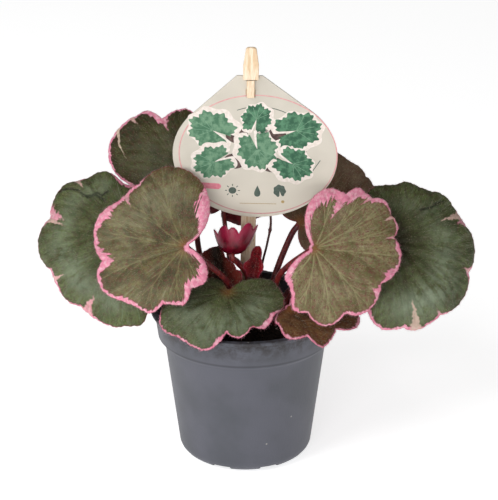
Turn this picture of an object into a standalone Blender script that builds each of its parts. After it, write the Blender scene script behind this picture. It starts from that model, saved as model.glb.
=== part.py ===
"""Variegated strawberry begonia in its nursery pot, with a wooden stick and a card tag.

The pot stands on z = 0 with its axis on Z, and the plant's front faces -Y. Lengths below are in
millimetres and angles in degrees. Every leaf is one solid, blade and stalk together.
"""

import math

import bmesh
import bpy
import numpy as np
from mathutils import Matrix, Vector

MM = 0.001
CLEARANCE = 0.3

# Pot
POT_HEIGHT = 85.8
LIP_RADIUS = 52.5
LIP_HEIGHT = 1.8
BAND_TOP_RADIUS = 50.5
BAND_FOOT_RADIUS = 48.7
BAND_HEIGHT = 15.5
SHOULDER_RADIUS = 45.0
SHOULDER_HEIGHT = 4.0
FOOT_RADIUS = 36.6
FOOT_CORNER = 7.0
WALL = 1.3
POT_SIDES = 48
NOTCH_COUNT = 8
NOTCH_WIDTH = 11.0
NOTCH_HEIGHT = 3.0
NOTCH_INNER_RADIUS = 27.0
NOTCH_OUTER_RADIUS = 50.0
DRAIN_RADIUS = 2.6
DRAIN_CIRCLE = 30.5

# Soil
SOIL_TOP = 76.0
SOIL_UNEVEN = 1.2
SOIL_RINGS = (8.0, 18.0, 28.0, 38.0)
STALK_DEPTH = 12.0
STALK_LEAD = 4.0

# Leaves
BLADE_THICKNESS = 0.8
STALK_RADIUS = 1.7
SINUS_REACH = 2.3
STALK_RING = 1.5
STALK_SIDES = 6
LOBE_ROUNDNESS = 2.0
SINUS_ROUNDNESS = 1.5
FORM_REACH = 40.0
ROLL_START = 0.68
FULL_FORM_REACH = 18.0
PLUMB_REACH = 14.0
SINUS_PLUMB = 1.5
FUNNEL_REACH = 9.0
CREASE_WIDTH = 7.0
CUP_REACH = 12.0

# Stick and tag: both lean forward, and slightly to the right, from the stick's foot
STICK_FOOT = (1.0, 17.5, SOIL_TOP)
STICK_LEAN = 12.0
STICK_SIDE_LEAN = 0.8
STICK_DEPTH = 45.0
STICK_WIDTH = 8.2
STICK_THICKNESS = 2.4
STICK_NECK_WIDTH = 4.1
STICK_HEAD_TIP_WIDTH = 5.6
STICK_HEAD_FOOT = 148.0
STICK_TOP = 167.0
SLOT_HEIGHT = 139.5
SLOT_OPENING = (5.2, 5.0)
TAG_THICKNESS = 0.7
TAG_ARC_POINTS = 33
TAG_GAP = 0.4
TAG_CENTRE = (3.0, 101.0)
TAG_RADII = (44.3, 38.3)
TAG_TURN = -5.7
TAG_TIP = (-7.3, 6.2)
TAG_TIP_HEIGHT = 149.8

# Stolon
STOLON_RADIUS = 0.65
STOLON_NODE_RADIUS = 1.1
STOLON_BUD_RADIUS = 1.9


def leaf(name, at, face, midrib, sinus, edge, stalk, base, **form):
    """One leaf's design. at is where the stalk meets the blade, face the blade's outward side and
    midrib its direction. edge lists (angle, reach) for the tips of the lobes and the notches
    between them in turn, and starts and ends with a tip. sinus gives the two angles between
    which the edge runs. stalk lists points on the stalk from the blade down, and base is where
    it enters the soil."""
    shape = dict(dome=6.0, funnel=0.0, roll=2.0, wave=0.6, crease=0.0, droop=0.0, droop_from=0.0,
                 fold=0.0, cup=0.0, stalk_radius=STALK_RADIUS, rings=(0.4, 0.75, 1.0),
                 colour=(0.13, 0.15, 0.07))
    shape.update(form)
    return dict(name=name, at=at, face=face, midrib=midrib, sinus=sinus, edge=edge, stalk=stalk,
                base=base, **shape)


LEAVES = [
    leaf("leaf_left_front", (-32, -31, 133), (-0.20, -0.90, 0.42), (-0.98, 0.21, 0), (-147, 168),
         [(-66, 46.2), (-47, 44.2), (-36, 46), (-25, 48.3), (-6, 55.5), (13, 48.5), (24, 54.5),
          (38, 49.5), (60, 42.2), (72, 33), (88, 31.5), (102, 22.7), (119, 22)],
         [(-20, -24, 120), (-8.6, -14.6, 104.5)], (-1, -4), dome=5, crease=2.5, wave=1.0, roll=2.5),
    leaf("leaf_right_front", (36.5, -27, 130.5), (0.18, -0.88, 0.44), (0.97, 0.1, -0.21),
         (-146, 130),
         [(-122, 22.8), (-106, 28), (-96, 35), (-86, 34.6), (-68, 42.3), (-54, 39.1), (-35, 46),
          (-17, 42.7), (5, 51), (17, 46.5), (24, 51), (32, 48.5), (39, 50.5), (48, 44.2),
          (58, 43.8), (66, 35.5), (77, 35.5)],
         [(23, -17, 116), (17.2, -10.5, 104)], (16.5, -3.5), dome=4, wave=0.8, roll=1.5),
    leaf("leaf_far_left", (-62, 6, 123), (-0.20, -0.85, 0.48), (-0.96, 0.22, -0.1), (-150, 150),
         [(-120, 24), (-100, 26), (-84, 31.4), (-74, 35.3), (-55, 47), (-42, 52), (-31, 57.5),
          (-15, 54), (-1, 60.5), (17, 53), (33, 53), (49, 48.3), (73, 49.6), (83, 48),
          (91, 47.5), (106, 33), (120, 28)],
         [(-44, 8, 119), (-22, 5, 104)], (-6, 1.5), dome=7, funnel=4, roll=4, wave=0.8),
    leaf("leaf_far_right", (78, 4, 121.5), (0.20, -0.85, 0.48), (0.96, 0.2, -0.1), (-150, 150),
         [(-120, 34), (-104, 40), (-86, 47.6), (-76, 47.8), (-64, 51.5), (-49, 51.4), (-28, 56.3),
          (-16, 53), (-1, 55.9), (14, 51), (31, 48.5), (47, 42), (62, 39.5), (77, 34.5),
          (96, 33.2)],
         [(60, 7, 118), (36, 5, 104)], (20, 3), dome=7, funnel=4, roll=4, wave=0.8),
    leaf("leaf_back_left", (-28, 22, 148), (-0.12, -0.86, 0.50), (-0.83, 0.36, 0.42),
         (-150, 150),
         [(-125, 28), (-100, 31), (-75, 35), (-60, 38), (-45, 48), (-31, 45.4), (-22, 56.5),
          (-15, 57.5), (-2, 59.5), (32, 33), (48, 35), (64, 31), (82, 31), (102, 27), (120, 25)],
         [(-28, 24, 130), (-24, 14, 105)], (-10, 7), dome=5, roll=2, wave=0.8),
    leaf("leaf_back_right", (31, 26, 125.5), (0.18, -0.78, 0.60), (0.74, 0.50, 0.45),
         (-150, 135),
         [(-118, 16), (-95, 20), (-70, 30), (-50, 36), (-25, 49.5), (-17, 50.5), (-9, 53),
          (-3, 52), (3, 53.3), (11, 51.3), (20, 52), (26, 50.6), (34, 51), (50, 44), (64, 40),
          (84, 26), (104, 13)],
         [(25.5, 25.5, 117), (16.8, 15, 98)], (13, 9), dome=4, roll=2, wave=0.3,
         stalk_radius=1.9),
    leaf("leaf_rim_left", (-9.5, -24, 104), (-0.04, -0.32, 0.95), (-0.35, -0.9, -0.3),
         (-148, 168),
         [(-125, 19), (-100, 25), (-69, 34.2), (-57, 36.5), (-44, 40.2), (-26, 37.7), (-2, 36.8),
          (19, 27.9), (33, 30.6), (48, 28.5), (60, 32), (76, 30.7), (92, 31.5), (110, 29.5),
          (134, 27.5)],
         [(-5, -18, 96), (2, -11, 88)], (4, -8), dome=2, droop=10, droop_from=4, wave=1.0,
         roll=1.5),
    leaf("leaf_rim_right", (23.9, -31, 97.4), (0.32, -0.40, 0.86), (0.66, -0.58, -0.52),
         (-108, 135),
         [(-76, 13.5), (-62, 16), (-42, 19.3), (-10, 18.8), (8, 28), (36, 28.5), (61, 44.5),
          (78, 38), (96, 30)],
         [(20, -27, 92), (14, -15, 91)], (11.5, -7), dome=2, droop=3, wave=0.8, roll=1.5),
    leaf("leaf_behind_tag", (-12, 12.6, 140), (0.05, 0.98, 0.18), (0.5, -0.18, 0.84),
         (-172, 172),
         [(-150, 8.5), (-120, 12), (-95, 16), (-70, 23), (-50, 25), (-28, 31), (-14, 31),
          (0, 33), (14, 31), (28, 31), (50, 25), (70, 23), (95, 16), (120, 12), (150, 8.5)],
         [(-11, 9.8, 128), (-8, 9, 104)], (-4, 8.5), dome=4, wave=0.4,
         rings=(0.5, 1.0), stalk_radius=1.4),
    leaf("leaf_rear_left", (-42, 36, 96), (-0.38, 0.45, 0.80), (-0.62, 0.60, -0.50),
         (-150, 150),
         [(-122, 24), (-95, 27), (-68, 34), (-45, 34), (-22, 40), (0, 37), (22, 40), (45, 34),
          (68, 34), (95, 27), (122, 24)],
         [(-34, 29, 96), (-20, 20, 91)], (-10, 14), dome=9, wave=0.8, roll=2,
         rings=(0.5, 1.0), stalk_radius=1.5),
    leaf("leaf_rear_right", (50, 36, 95), (0.38, 0.45, 0.80), (0.62, 0.60, -0.50),
         (-150, 150),
         [(-122, 22), (-95, 25), (-68, 33), (-45, 33), (-22, 39), (0, 36), (22, 39), (45, 33),
          (68, 33), (95, 25), (122, 22)],
         [(40, 28, 96), (28, 19, 91)], (20, 13), dome=9, wave=0.8, roll=2,
         rings=(0.5, 1.0), stalk_radius=1.5),
    leaf("leaf_rear_middle", (0, 75, 72), (0.0, 0.88, 0.48), (0.05, 0.48, -0.88),
         (-150, 150),
         [(-122, 17), (-95, 19), (-68, 25), (-45, 24), (-22, 29), (0, 27), (22, 29), (45, 24),
          (68, 25), (95, 19), (122, 17)],
         [(0, 68, 80), (2, 54, 92), (6, 34, 92), (10, 22, 86)], (11, 16), dome=8, wave=0.8,
         roll=2, rings=(0.5, 1.0), stalk_radius=1.3),
    leaf("leaf_folded", (-12, -1, 95), (-0.35, -0.85, 0.30), (-0.28, 0.05, 0.96), (-160, 160),
         [(-95, 8), (-80, 13), (-64, 17.5), (-50, 16), (-34, 17.6), (-16, 19.2), (0, 25),
          (25, 22), (50, 18), (75, 12), (100, 8)],
         [(-8, 0, 88)], (0, 2.5), dome=0, fold=6, wave=0.3, roll=0, rings=(0.5, 1.0),
         stalk_radius=1.2),
    leaf("leaf_young_pink", (-7.2, -8, 120.5), (0.1, 0.5, 0.86), (0.1, -0.86, 0.5), (-172, 172),
         [(-150, 10.2), (-122, 9.6), (-88, 11), (-62, 9.9), (-32, 11.4), (-21, 10.7), (-9, 11.2),
          (10, 10.2), (34, 12.2), (56, 11.4), (80, 12.4), (105, 10.9), (135, 11)],
         [(-3.5, -5.5, 113), (1.5, -2, 104)], (5.5, 4), dome=0, cup=15, wave=0, roll=0,
         rings=(0.45, 0.75, 1.0), stalk_radius=1.9, colour=(0.25, 0.02, 0.06)),
    leaf("leaf_bud_red", (5, -5.5, 107), (-0.3, -0.9, 0.3), (0.1, 0.1, 0.99), (-165, 165),
         [(-95, 4), (-70, 5), (-36, 8.5), (-18, 10), (0, 15.5), (18, 9), (36, 7.5), (70, 4.5),
          (95, 3.5)],
         [(5.5, -4, 100)], (6.5, -2), dome=0, fold=9, wave=0, roll=0, rings=(0.55, 1.0),
         stalk_radius=1.1, colour=(0.16, 0.02, 0.03)),
]

STOLON_ROUTE = [(10.5, 4.5, SOIL_TOP - STALK_DEPTH), (10.5, 4.5, SOIL_TOP + STALK_LEAD),
                (8.8, 5, 103), (12, 5, 120), (14, 5, 131), (14.2, 5, 140), (17.5, 7, 150),
                (20.5, 13, 157), (22, 21, 159), (22.5, 29, 154)]
STOLON_NODE_Z = 131.0


def material(name, colour, roughness):
    found = bpy.data.materials.get(name)
    if found:
        return found
    made = bpy.data.materials.new(name)
    made.use_nodes = True
    shader = made.node_tree.nodes["Principled BSDF"]
    shader.inputs["Base Color"].default_value = (*colour, 1)
    shader.inputs["Roughness"].default_value = roughness
    made.diffuse_color = (*colour, 1)
    return made


def add_object(name, points, faces, finish, placement=Matrix()):
    """A mesh object from points in millimetres, its faces turned outward."""
    mesh = bpy.data.meshes.new(name)
    mesh.from_pydata((np.asarray(points) * MM).tolist(), [], faces)
    work = bmesh.new()
    work.from_mesh(mesh)
    bmesh.ops.recalc_face_normals(work, faces=work.faces)
    if work.calc_volume(signed=True) < 0:
        bmesh.ops.reverse_faces(work, faces=work.faces)
    work.to_mesh(mesh)
    work.free()
    mesh.materials.append(finish)
    mesh.shade_smooth()
    made = bpy.data.objects.new(name, mesh)
    bpy.context.collection.objects.link(made)
    made.matrix_world = placement
    return made


def apply_boolean(target, cutter, operation):
    """Applies one Boolean to target and removes the cutter."""
    step = target.modifiers.new(operation, "BOOLEAN")
    step.operation = operation
    step.object = cutter
    step.solver = "EXACT"
    graph = bpy.context.evaluated_depsgraph_get()
    result = bpy.data.meshes.new_from_object(target.evaluated_get(graph))
    target.modifiers.remove(step)
    target.data = result
    bpy.data.objects.remove(cutter)


def join_meshes(name, objects, finish):
    """One object from several whose meshes stay loose, for use as a single cutter."""
    points, faces = [], []
    for source in objects:
        start = len(points)
        points += [tuple(source.matrix_world @ v.co / MM) for v in source.data.vertices]
        faces += [[start + i for i in face.vertices] for face in source.data.polygons]
        bpy.data.objects.remove(source)
    return add_object(name, points, faces, finish)


def unit(vector):
    vector = np.asarray(vector, float)
    return vector / np.linalg.norm(vector)


def smooth_route(route, count):
    """count + 1 points evenly spaced by length on a Catmull-Rom curve through the route."""
    points = np.array([2 * np.array(route[0]) - route[1], *route,
                       2 * np.array(route[-1]) - route[-2]], float)
    fine = []
    for a, b, c, d in zip(points, points[1:], points[2:], points[3:]):
        for t in np.linspace(0, 1, 12, endpoint=False):
            fine.append(0.5 * (2 * b + (c - a) * t + (2 * a - 5 * b + 4 * c - d) * t**2
                               + (3 * b - a - 3 * c + d) * t**3))
    fine = np.array([*fine, points[-2]])
    along = np.concatenate([[0], np.cumsum(np.linalg.norm(np.diff(fine, axis=0), axis=1))])
    wanted = np.linspace(0, along[-1], count + 1)
    return np.stack([np.interp(wanted, along, fine[:, axis]) for axis in range(3)], 1)


def tube_rings(path, radii, sides, start_x):
    """Rings of points round a path. The first ring's angle 0 points along start_x, and the frame
    is carried along without twist."""
    tangents = np.gradient(path, axis=0)
    tangents /= np.linalg.norm(tangents, axis=1)[:, None]
    x_axis = np.asarray(start_x, float)
    rings = []
    angles = np.linspace(0, 2 * math.pi, sides, endpoint=False)
    for centre, tangent, radius in zip(path, tangents, radii):
        x_axis = unit(x_axis - tangent * (x_axis @ tangent))
        y_axis = np.cross(x_axis, tangent)
        rings.append(centre + radius * (np.outer(np.cos(angles), x_axis)
                                        + np.outer(np.sin(angles), y_axis)))
    return rings


def bridge(first, second, count):
    """Triangles between two rings of count points that start at these indices."""
    faces = []
    for i in range(count):
        j = (i + 1) % count
        faces.append((first + i, first + j, second + i))
        faces.append((first + j, second + j, second + i))
    return faces


def edge_samples(design, lobe_steps, sinus_steps):
    """Angles round the blade, closer together where the edge turns: each lobe's tip, the notch
    after it, the steps between them, the sides of the sinus and its floor."""
    first, last = design["sinus"]
    knots = [first] + [angle for angle, _ in design["edge"]] + [last]
    angles = []
    for k, (a, b) in enumerate(zip(knots, knots[1:])):
        is_sinus_side = k in (0, len(knots) - 2)
        shares = sinus_steps if is_sinus_side else lobe_steps
        rising = k % 2 == 0
        if rising:
            shares = [1 - s for s in shares][::-1]
        angles += [a] + [a + (b - a) * s for s in shares if 0 < s < 1]
    floor = np.linspace(last, first + 360, 4)
    return np.array(angles + list(floor[:-1]))


def edge_reach(design, angles):
    """How far the edge lies from the stalk at these angles, and 0 at a tip to 1 at a notch."""
    first, last = design["sinus"]
    knots = [(first, SINUS_REACH)] + list(design["edge"]) + [(last, SINUS_REACH)]
    turns = np.array([angle for angle, _ in knots])
    reaches = np.array([reach for _, reach in knots])
    wrapped = np.where(angles > last + 1e-6, last, angles)
    span = np.clip(np.searchsorted(turns, wrapped, side="right") - 1, 0, len(knots) - 2)
    tip = np.where(span % 2 == 0, span + 1, span)
    notch = np.where(span % 2 == 0, span, span + 1)
    away = np.abs(wrapped - turns[tip]) / np.abs(turns[notch] - turns[tip])
    sinus_side = (span == 0) | (span == len(knots) - 2)
    power = np.where(sinus_side, SINUS_ROUNDNESS, LOBE_ROUNDNESS)
    reach = reaches[notch] + (reaches[tip] - reaches[notch]) * (1 - away**power)
    return reach, away


def blade_height(design, x, y, share, away, edge):
    """Height of the blade over its flat plane. share is 0 at the stalk and 1 at the edge, and edge
    is how far the edge lies from the stalk. Roll and wave fade out where that is short, so that
    the blade stays open beside the stalk."""
    reach = np.hypot(x, y)
    scaled = reach / FORM_REACH
    free = np.clip((edge - SINUS_REACH) / (FULL_FORM_REACH - SINUS_REACH), 0, 1)
    height = design["funnel"] * (1 - np.exp(-reach / FUNNEL_REACH))
    height -= design["dome"] * scaled**2
    height -= design["roll"] * free * np.clip((share - ROLL_START) / (1 - ROLL_START), 0, 1) ** 2
    height -= design["wave"] * free * share**3 * np.cos(math.pi * away)
    height -= design["crease"] * np.exp(-((y / CREASE_WIDTH) ** 2)) * np.clip(x / 20, 0, 1)
    height -= design["droop"] * (np.clip(x - design["droop_from"], 0, None) / FORM_REACH) ** 2
    height += design["fold"] * np.abs(y) / 10
    height += design["cup"] * (reach / CUP_REACH) ** 3
    return height


def surface_normals(points, faces):
    corners = points[faces]
    flat = np.cross(corners[:, 1] - corners[:, 0], corners[:, 2] - corners[:, 0])
    normals = np.zeros_like(points)
    for corner in range(3):
        np.add.at(normals, faces[:, corner], flat)
    return normals / np.linalg.norm(normals, axis=1)[:, None]


def blade_axes(design):
    face = unit(design["face"])
    along = np.array(design["midrib"], float)
    along = unit(along - face * (along @ face))
    return along, np.cross(face, along), face


def leaf_solid(design, lobe_steps=(0.6,), sinus_steps=(0.35, 0.65, 0.88), stalk_pieces=9):
    """A leaf's points in world millimetres and its triangles. The blade's two faces share one
    pattern of triangles, and the stalk grows out of a ring on the underside."""
    angles = edge_samples(design, lobe_steps, sinus_steps)
    columns = len(angles)
    reach, away = edge_reach(design, angles)
    turn = np.radians(angles)
    shares = (0.0, *design["rings"])
    flat_x, flat_y, heights = [0.0], [0.0], [0.0]
    for share in shares:
        radius = STALK_RING + (reach - STALK_RING) * share
        x, y = radius * np.cos(turn), radius * np.sin(turn)
        flat_x += list(x)
        flat_y += list(y)
        heights += list(blade_height(design, x, y, np.full(columns, share), away, reach))
    local = np.stack([flat_x, flat_y, heights], 1)
    rings = len(shares)
    upper = [(0, 1 + (i + 1) % columns, 1 + i) for i in range(columns)]
    for k in range(rings - 1):
        upper += bridge(1 + k * columns, 1 + (k + 1) * columns, columns)
    downward = surface_normals(local, np.array(upper))
    near_stalk = 1 - np.hypot(local[:, 0], local[:, 1]) / PLUMB_REACH
    beside_sinus = (angles < design["edge"][0][0]) | (angles > design["edge"][-1][0])
    near_sinus = beside_sinus * (SINUS_PLUMB - (reach - SINUS_REACH) / PLUMB_REACH)
    plumb = np.maximum(near_stalk, np.concatenate([[1], np.tile(near_sinus, rings)]))
    plumb = np.clip(plumb, 0, 1)[:, None]
    downward = downward * (1 - plumb) + np.array([0, 0, -1]) * plumb
    under = local + downward * BLADE_THICKNESS
    along, across, face = blade_axes(design)
    axes = np.stack([along, across, face])
    at = np.array(design["at"], float)
    top_points = at + local @ axes
    under_points = at + under[1:] @ axes
    under_start = len(top_points)
    faces = [tuple(f) for f in upper]
    for k in range(rings - 1):
        first = under_start + k * columns
        faces += [f[::-1] for f in bridge(first, first + columns, columns)]
    faces += bridge(1 + (rings - 1) * columns, under_start + (rings - 1) * columns, columns)

    radius = design["stalk_radius"]
    start = at - face * (BLADE_THICKNESS + 0.2)
    lead = at - face * 2.8
    lead = lead + 0.9 * unit(np.array(design["stalk"][0]) - lead)
    base = design["base"]
    soil_end = (*base, SOIL_TOP - STALK_DEPTH)
    soil_entry = (*base, SOIL_TOP + STALK_LEAD)
    path = smooth_route([lead, *design["stalk"], soil_entry, soil_end], stalk_pieces)
    path = path[path[:, 2] > SOIL_TOP + STALK_LEAD + STALK_RADIUS]
    path = np.array([start, *path, soil_entry, soil_end])
    swell = np.linspace(0, 1, len(path))
    radii = radius * (0.92 + 0.08 * swell)
    radii[0] = STALK_RING * 0.98
    tube = tube_rings(path[1:], radii[1:], STALK_SIDES, along)
    tube_start = under_start + len(under_points)
    near = np.round((np.degrees(turn) % 360) / (360 / STALK_SIDES)).astype(int) % STALK_SIDES
    for i in range(columns):
        j = (i + 1) % columns
        faces.append((under_start + i, under_start + j, tube_start + near[i]))
        if near[i] != near[j]:
            faces.append((under_start + j, tube_start + near[j], tube_start + near[i]))
    for k in range(len(tube) - 1):
        faces += bridge(tube_start + k * STALK_SIDES, tube_start + (k + 1) * STALK_SIDES,
                        STALK_SIDES)
    last = tube_start + (len(tube) - 1) * STALK_SIDES
    faces += [(last, last + i + 1, last + i) for i in range(1, STALK_SIDES - 1)]
    return np.concatenate([top_points, under_points, *tube]), faces


def add_leaf(design):
    points, faces = leaf_solid(design)
    along, across, face = blade_axes(design)
    at = np.array(design["at"], float)
    placement = Matrix.Translation(Vector(at * MM)) @ Matrix(
        np.stack([along, across, face], 1).tolist()).to_4x4()
    own = (points - at) @ np.stack([along, across, face], 1)
    finish = material(design["name"], design["colour"], 0.7)
    add_object(design["name"], own, [tuple(int(i) for i in f) for f in faces], finish, placement)


def turned(name, profile, finish):
    """A closed solid turned from (radius, height) points that start and end on the axis."""
    points, faces, rings = [], [], []
    for radius, height in profile:
        start = len(points)
        if radius == 0:
            points.append((0, 0, height))
            rings.append((start, 1))
            continue
        for i in range(POT_SIDES):
            angle = 2 * math.pi * i / POT_SIDES
            points.append((radius * math.cos(angle), radius * math.sin(angle), height))
        rings.append((start, POT_SIDES))
    for (first, n), (second, m) in zip(rings, rings[1:]):
        for i in range(POT_SIDES):
            j = (i + 1) % POT_SIDES
            if n == 1:
                faces.append((first, second + j, second + i))
            elif m == 1:
                faces.append((first + i, first + j, second))
            else:
                faces.append((first + i, first + j, second + j, second + i))
    return add_object(name, points, faces, finish)


def body_radius(height):
    """Radius of the pot's tapered body at a height."""
    shoulder = POT_HEIGHT - BAND_HEIGHT - SHOULDER_HEIGHT
    return FOOT_RADIUS + (SHOULDER_RADIUS - FOOT_RADIUS) * height / shoulder


def pot_profile(inset, floor, top):
    """The pot's side from its foot up, moved in by inset, as (radius, height) points."""
    corner = FOOT_CORNER
    centre = body_radius(corner) - corner
    points = [(0, floor)]
    for turn in (-90, -60, -30, 0):
        angle = math.radians(turn)
        points.append((centre + (corner - inset) * math.cos(angle),
                       floor + (corner - inset) * (1 + math.sin(angle))))
    shoulder = POT_HEIGHT - BAND_HEIGHT - SHOULDER_HEIGHT
    points.append((SHOULDER_RADIUS - inset, shoulder))
    points.append((SHOULDER_RADIUS + 1.4 - inset, shoulder + 0.45 * SHOULDER_HEIGHT))
    points.append((BAND_FOOT_RADIUS - inset, POT_HEIGHT - BAND_HEIGHT))
    band_slope = (BAND_TOP_RADIUS - BAND_FOOT_RADIUS) / (BAND_HEIGHT - LIP_HEIGHT)
    band_end = min(top, POT_HEIGHT - LIP_HEIGHT)
    band_rise = band_end - (POT_HEIGHT - BAND_HEIGHT)
    points.append((BAND_FOOT_RADIUS + band_slope * band_rise - inset, band_end))
    return points


def notch_boxes(name, widen, height, finish):
    """The eight radial notches in the pot's foot, widened and raised for the inner side."""
    boxes = []
    for k in range(NOTCH_COUNT):
        half = NOTCH_WIDTH / 2 + widen
        inner, outer = NOTCH_INNER_RADIUS - widen, NOTCH_OUTER_RADIUS
        corners = [(x, y, z) for x in (inner, outer) for y in (-half, half)
                   for z in (-5.0, height)]
        faces = [(0, 1, 3, 2), (4, 6, 7, 5), (0, 4, 5, 1), (2, 3, 7, 6), (0, 2, 6, 4),
                 (1, 5, 7, 3)]
        turn = Matrix.Rotation(2 * math.pi * (k + 0.5) / NOTCH_COUNT, 4, "Z")
        boxes.append(add_object(f"{name}_{k}", corners, faces, finish, turn))
    bpy.context.view_layer.update()
    return join_meshes(name, boxes, finish)


def prism(name, outline, low, high, finish, placement=Matrix()):
    """A solid between two heights with this (x, y) outline."""
    count = len(outline)
    points = [(x, y, low) for x, y in outline] + [(x, y, high) for x, y in outline]
    faces = [tuple(range(count))[::-1], tuple(range(count, 2 * count))]
    faces += [(i, (i + 1) % count, count + (i + 1) % count, count + i) for i in range(count)]
    return add_object(name, points, faces, finish, placement)


def round_outline(radius, sides, x=0.0, y=0.0):
    angles = [2 * math.pi * i / sides for i in range(sides)]
    return [(x + radius * math.cos(a), y + radius * math.sin(a)) for a in angles]


def add_pot():
    finish = material("pot", (0.16, 0.16, 0.18), 0.55)
    rim = [(LIP_RADIUS, POT_HEIGHT - LIP_HEIGHT), (LIP_RADIUS, POT_HEIGHT - 0.5),
           (LIP_RADIUS - 0.5, POT_HEIGHT), (0, POT_HEIGHT)]
    pot = turned("pot", pot_profile(0, 0, POT_HEIGHT) + rim, finish)
    cavity = pot_profile(WALL, WALL, POT_HEIGHT)
    top_radius = cavity[-1][0]
    cavity += [(top_radius, POT_HEIGHT + 4), (0, POT_HEIGHT + 4)]
    inside = turned("inside", cavity, finish)
    apply_boolean(inside, notch_boxes("inner_notches", WALL, NOTCH_HEIGHT + WALL, finish),
                  "DIFFERENCE")
    apply_boolean(pot, notch_boxes("outer_notches", 0, NOTCH_HEIGHT, finish), "DIFFERENCE")
    apply_boolean(pot, inside, "DIFFERENCE")
    drains = []
    for k in range(NOTCH_COUNT):
        angle = 2 * math.pi * (k + 0.5) / NOTCH_COUNT
        spot = (DRAIN_CIRCLE * math.cos(angle), DRAIN_CIRCLE * math.sin(angle))
        drains.append(prism(f"drain_{k}", round_outline(DRAIN_RADIUS, 8, *spot), -2,
                            NOTCH_HEIGHT + WALL + 1.5, finish))
    bpy.context.view_layer.update()
    apply_boolean(pot, join_meshes("drains", drains, finish), "DIFFERENCE")
    pot.data.set_sharp_from_angle(angle=math.radians(40))


def soil_height(x, y):
    """The uneven top of the soil."""
    bumps = (math.sin(0.21 * x + 0.6) * math.cos(0.17 * y - 0.4)
             + 0.6 * math.sin(0.43 * x - 0.31 * y + 1.7))
    return SOIL_TOP + SOIL_UNEVEN * bumps / 1.6


def stick_frame():
    """The stick's own frame: x to the right, y backward through it and z up along it."""
    lean = Matrix.Rotation(math.radians(STICK_LEAN), 4, "X")
    side_lean = Matrix.Rotation(math.radians(STICK_SIDE_LEAN), 4, "Y")
    return Matrix.Translation(Vector(STICK_FOOT) * MM) @ lean @ side_lean


def box_outline(width, front, back, x=0.0):
    return [(x - width / 2, front), (x + width / 2, front), (x + width / 2, back),
            (x - width / 2, back)]


def add_soil():
    finish = material("soil", (0.02, 0.014, 0.01), 0.95)
    inset = WALL + CLEARANCE
    side = pot_profile(inset, inset, SOIL_TOP)
    points, faces, rings = [], [], []
    heights = [h for _, h in side[1:]]
    for radius, height in side[1:] + [(r, None) for r in SOIL_RINGS[::-1]]:
        rings.append(len(points))
        for i in range(POT_SIDES):
            angle = 2 * math.pi * i / POT_SIDES
            x, y = radius * math.cos(angle), radius * math.sin(angle)
            is_top = height is None or height == heights[-1]
            points.append((x, y, soil_height(x, y) if is_top else height))
    for first, second in zip(rings, rings[1:]):
        faces += bridge(first, second, POT_SIDES)
    points += [(0, 0, inset), (0, 0, soil_height(0, 0))]
    bottom, top = len(points) - 2, len(points) - 1
    for i in range(POT_SIDES):
        j = (i + 1) % POT_SIDES
        faces.append((bottom, rings[0] + j, rings[0] + i))
        faces.append((top, rings[-1] + i, rings[-1] + j))
    soil = add_object("soil", points, faces, finish)
    apply_boolean(soil, notch_boxes("soil_notches", inset, NOTCH_HEIGHT + inset, finish),
                  "DIFFERENCE")
    holes = []
    for design in LEAVES:
        radius = design["stalk_radius"] + CLEARANCE + 0.1
        holes.append(prism("hole", round_outline(radius, 8, *design["base"]),
                           SOIL_TOP - STALK_DEPTH - CLEARANCE, SOIL_TOP + 8, finish))
    x, y, _ = STOLON_ROUTE[0]
    holes.append(prism("hole", round_outline(STOLON_RADIUS + CLEARANCE + 0.1, 8, x, y),
                       SOIL_TOP - STALK_DEPTH - CLEARANCE, SOIL_TOP + 8, finish))
    gap = CLEARANCE
    outline = box_outline(STICK_WIDTH + 2 * gap, -gap, STICK_THICKNESS + gap)
    holes.append(prism("hole", outline, -STICK_DEPTH - gap, 8, finish, stick_frame()))
    bpy.context.view_layer.update()
    apply_boolean(soil, join_meshes("holes", holes, finish), "DIFFERENCE")
    soil.data.set_sharp_from_angle(angle=math.radians(50))


def add_stick():
    """The wooden stick: a flat shaft behind the card, a neck that comes through the card's slot
    and stands in front of it, and a head wider than the slot."""
    finish = material("wood", (0.78, 0.6, 0.4), 0.6)
    frame = stick_frame()
    front = -(TAG_GAP + TAG_THICKNESS + CLEARANCE)
    slot_low = SLOT_HEIGHT - SLOT_OPENING[1] / 2 + CLEARANCE
    slot_high = SLOT_HEIGHT + SLOT_OPENING[1] / 2 - CLEARANCE
    shaft = prism("tag_stick", box_outline(STICK_WIDTH, 0, STICK_THICKNESS), -STICK_DEPTH,
                  slot_high, finish, frame)
    neck_front = front - 1.5
    bridge_piece = prism("bridge", box_outline(STICK_NECK_WIDTH, neck_front, 1.0), slot_low,
                         slot_high, finish, frame)
    neck = prism("neck", box_outline(STICK_NECK_WIDTH, neck_front, front), slot_low + 0.5,
                 STICK_HEAD_FOOT + 3, finish, frame)
    head_low, head_high = STICK_HEAD_FOOT, STICK_TOP
    wide, tip = STICK_WIDTH / 2, STICK_HEAD_TIP_WIDTH / 2
    mid = head_low + 0.45 * (head_high - head_low)
    outline = [(-wide, head_low), (wide, head_low), (wide, mid), (tip, head_high - 1),
               (tip - 1, head_high), (-tip + 1, head_high), (-tip, head_high - 1), (-wide, mid)]
    count = len(outline)
    points = [(x, neck_front - 0.2, z) for x, z in outline] + [(x, front, z) for x, z in outline]
    faces = [tuple(range(count)), tuple(range(count, 2 * count))[::-1]]
    faces += [(i, (i + 1) % count, count + (i + 1) % count, count + i) for i in range(count)]
    head = add_object("head", points, faces, finish, frame)
    bpy.context.view_layer.update()
    for piece in (bridge_piece, neck, head):
        apply_boolean(shaft, piece, "UNION")
    shaft.data.set_sharp_from_angle(angle=math.radians(30))


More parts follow.
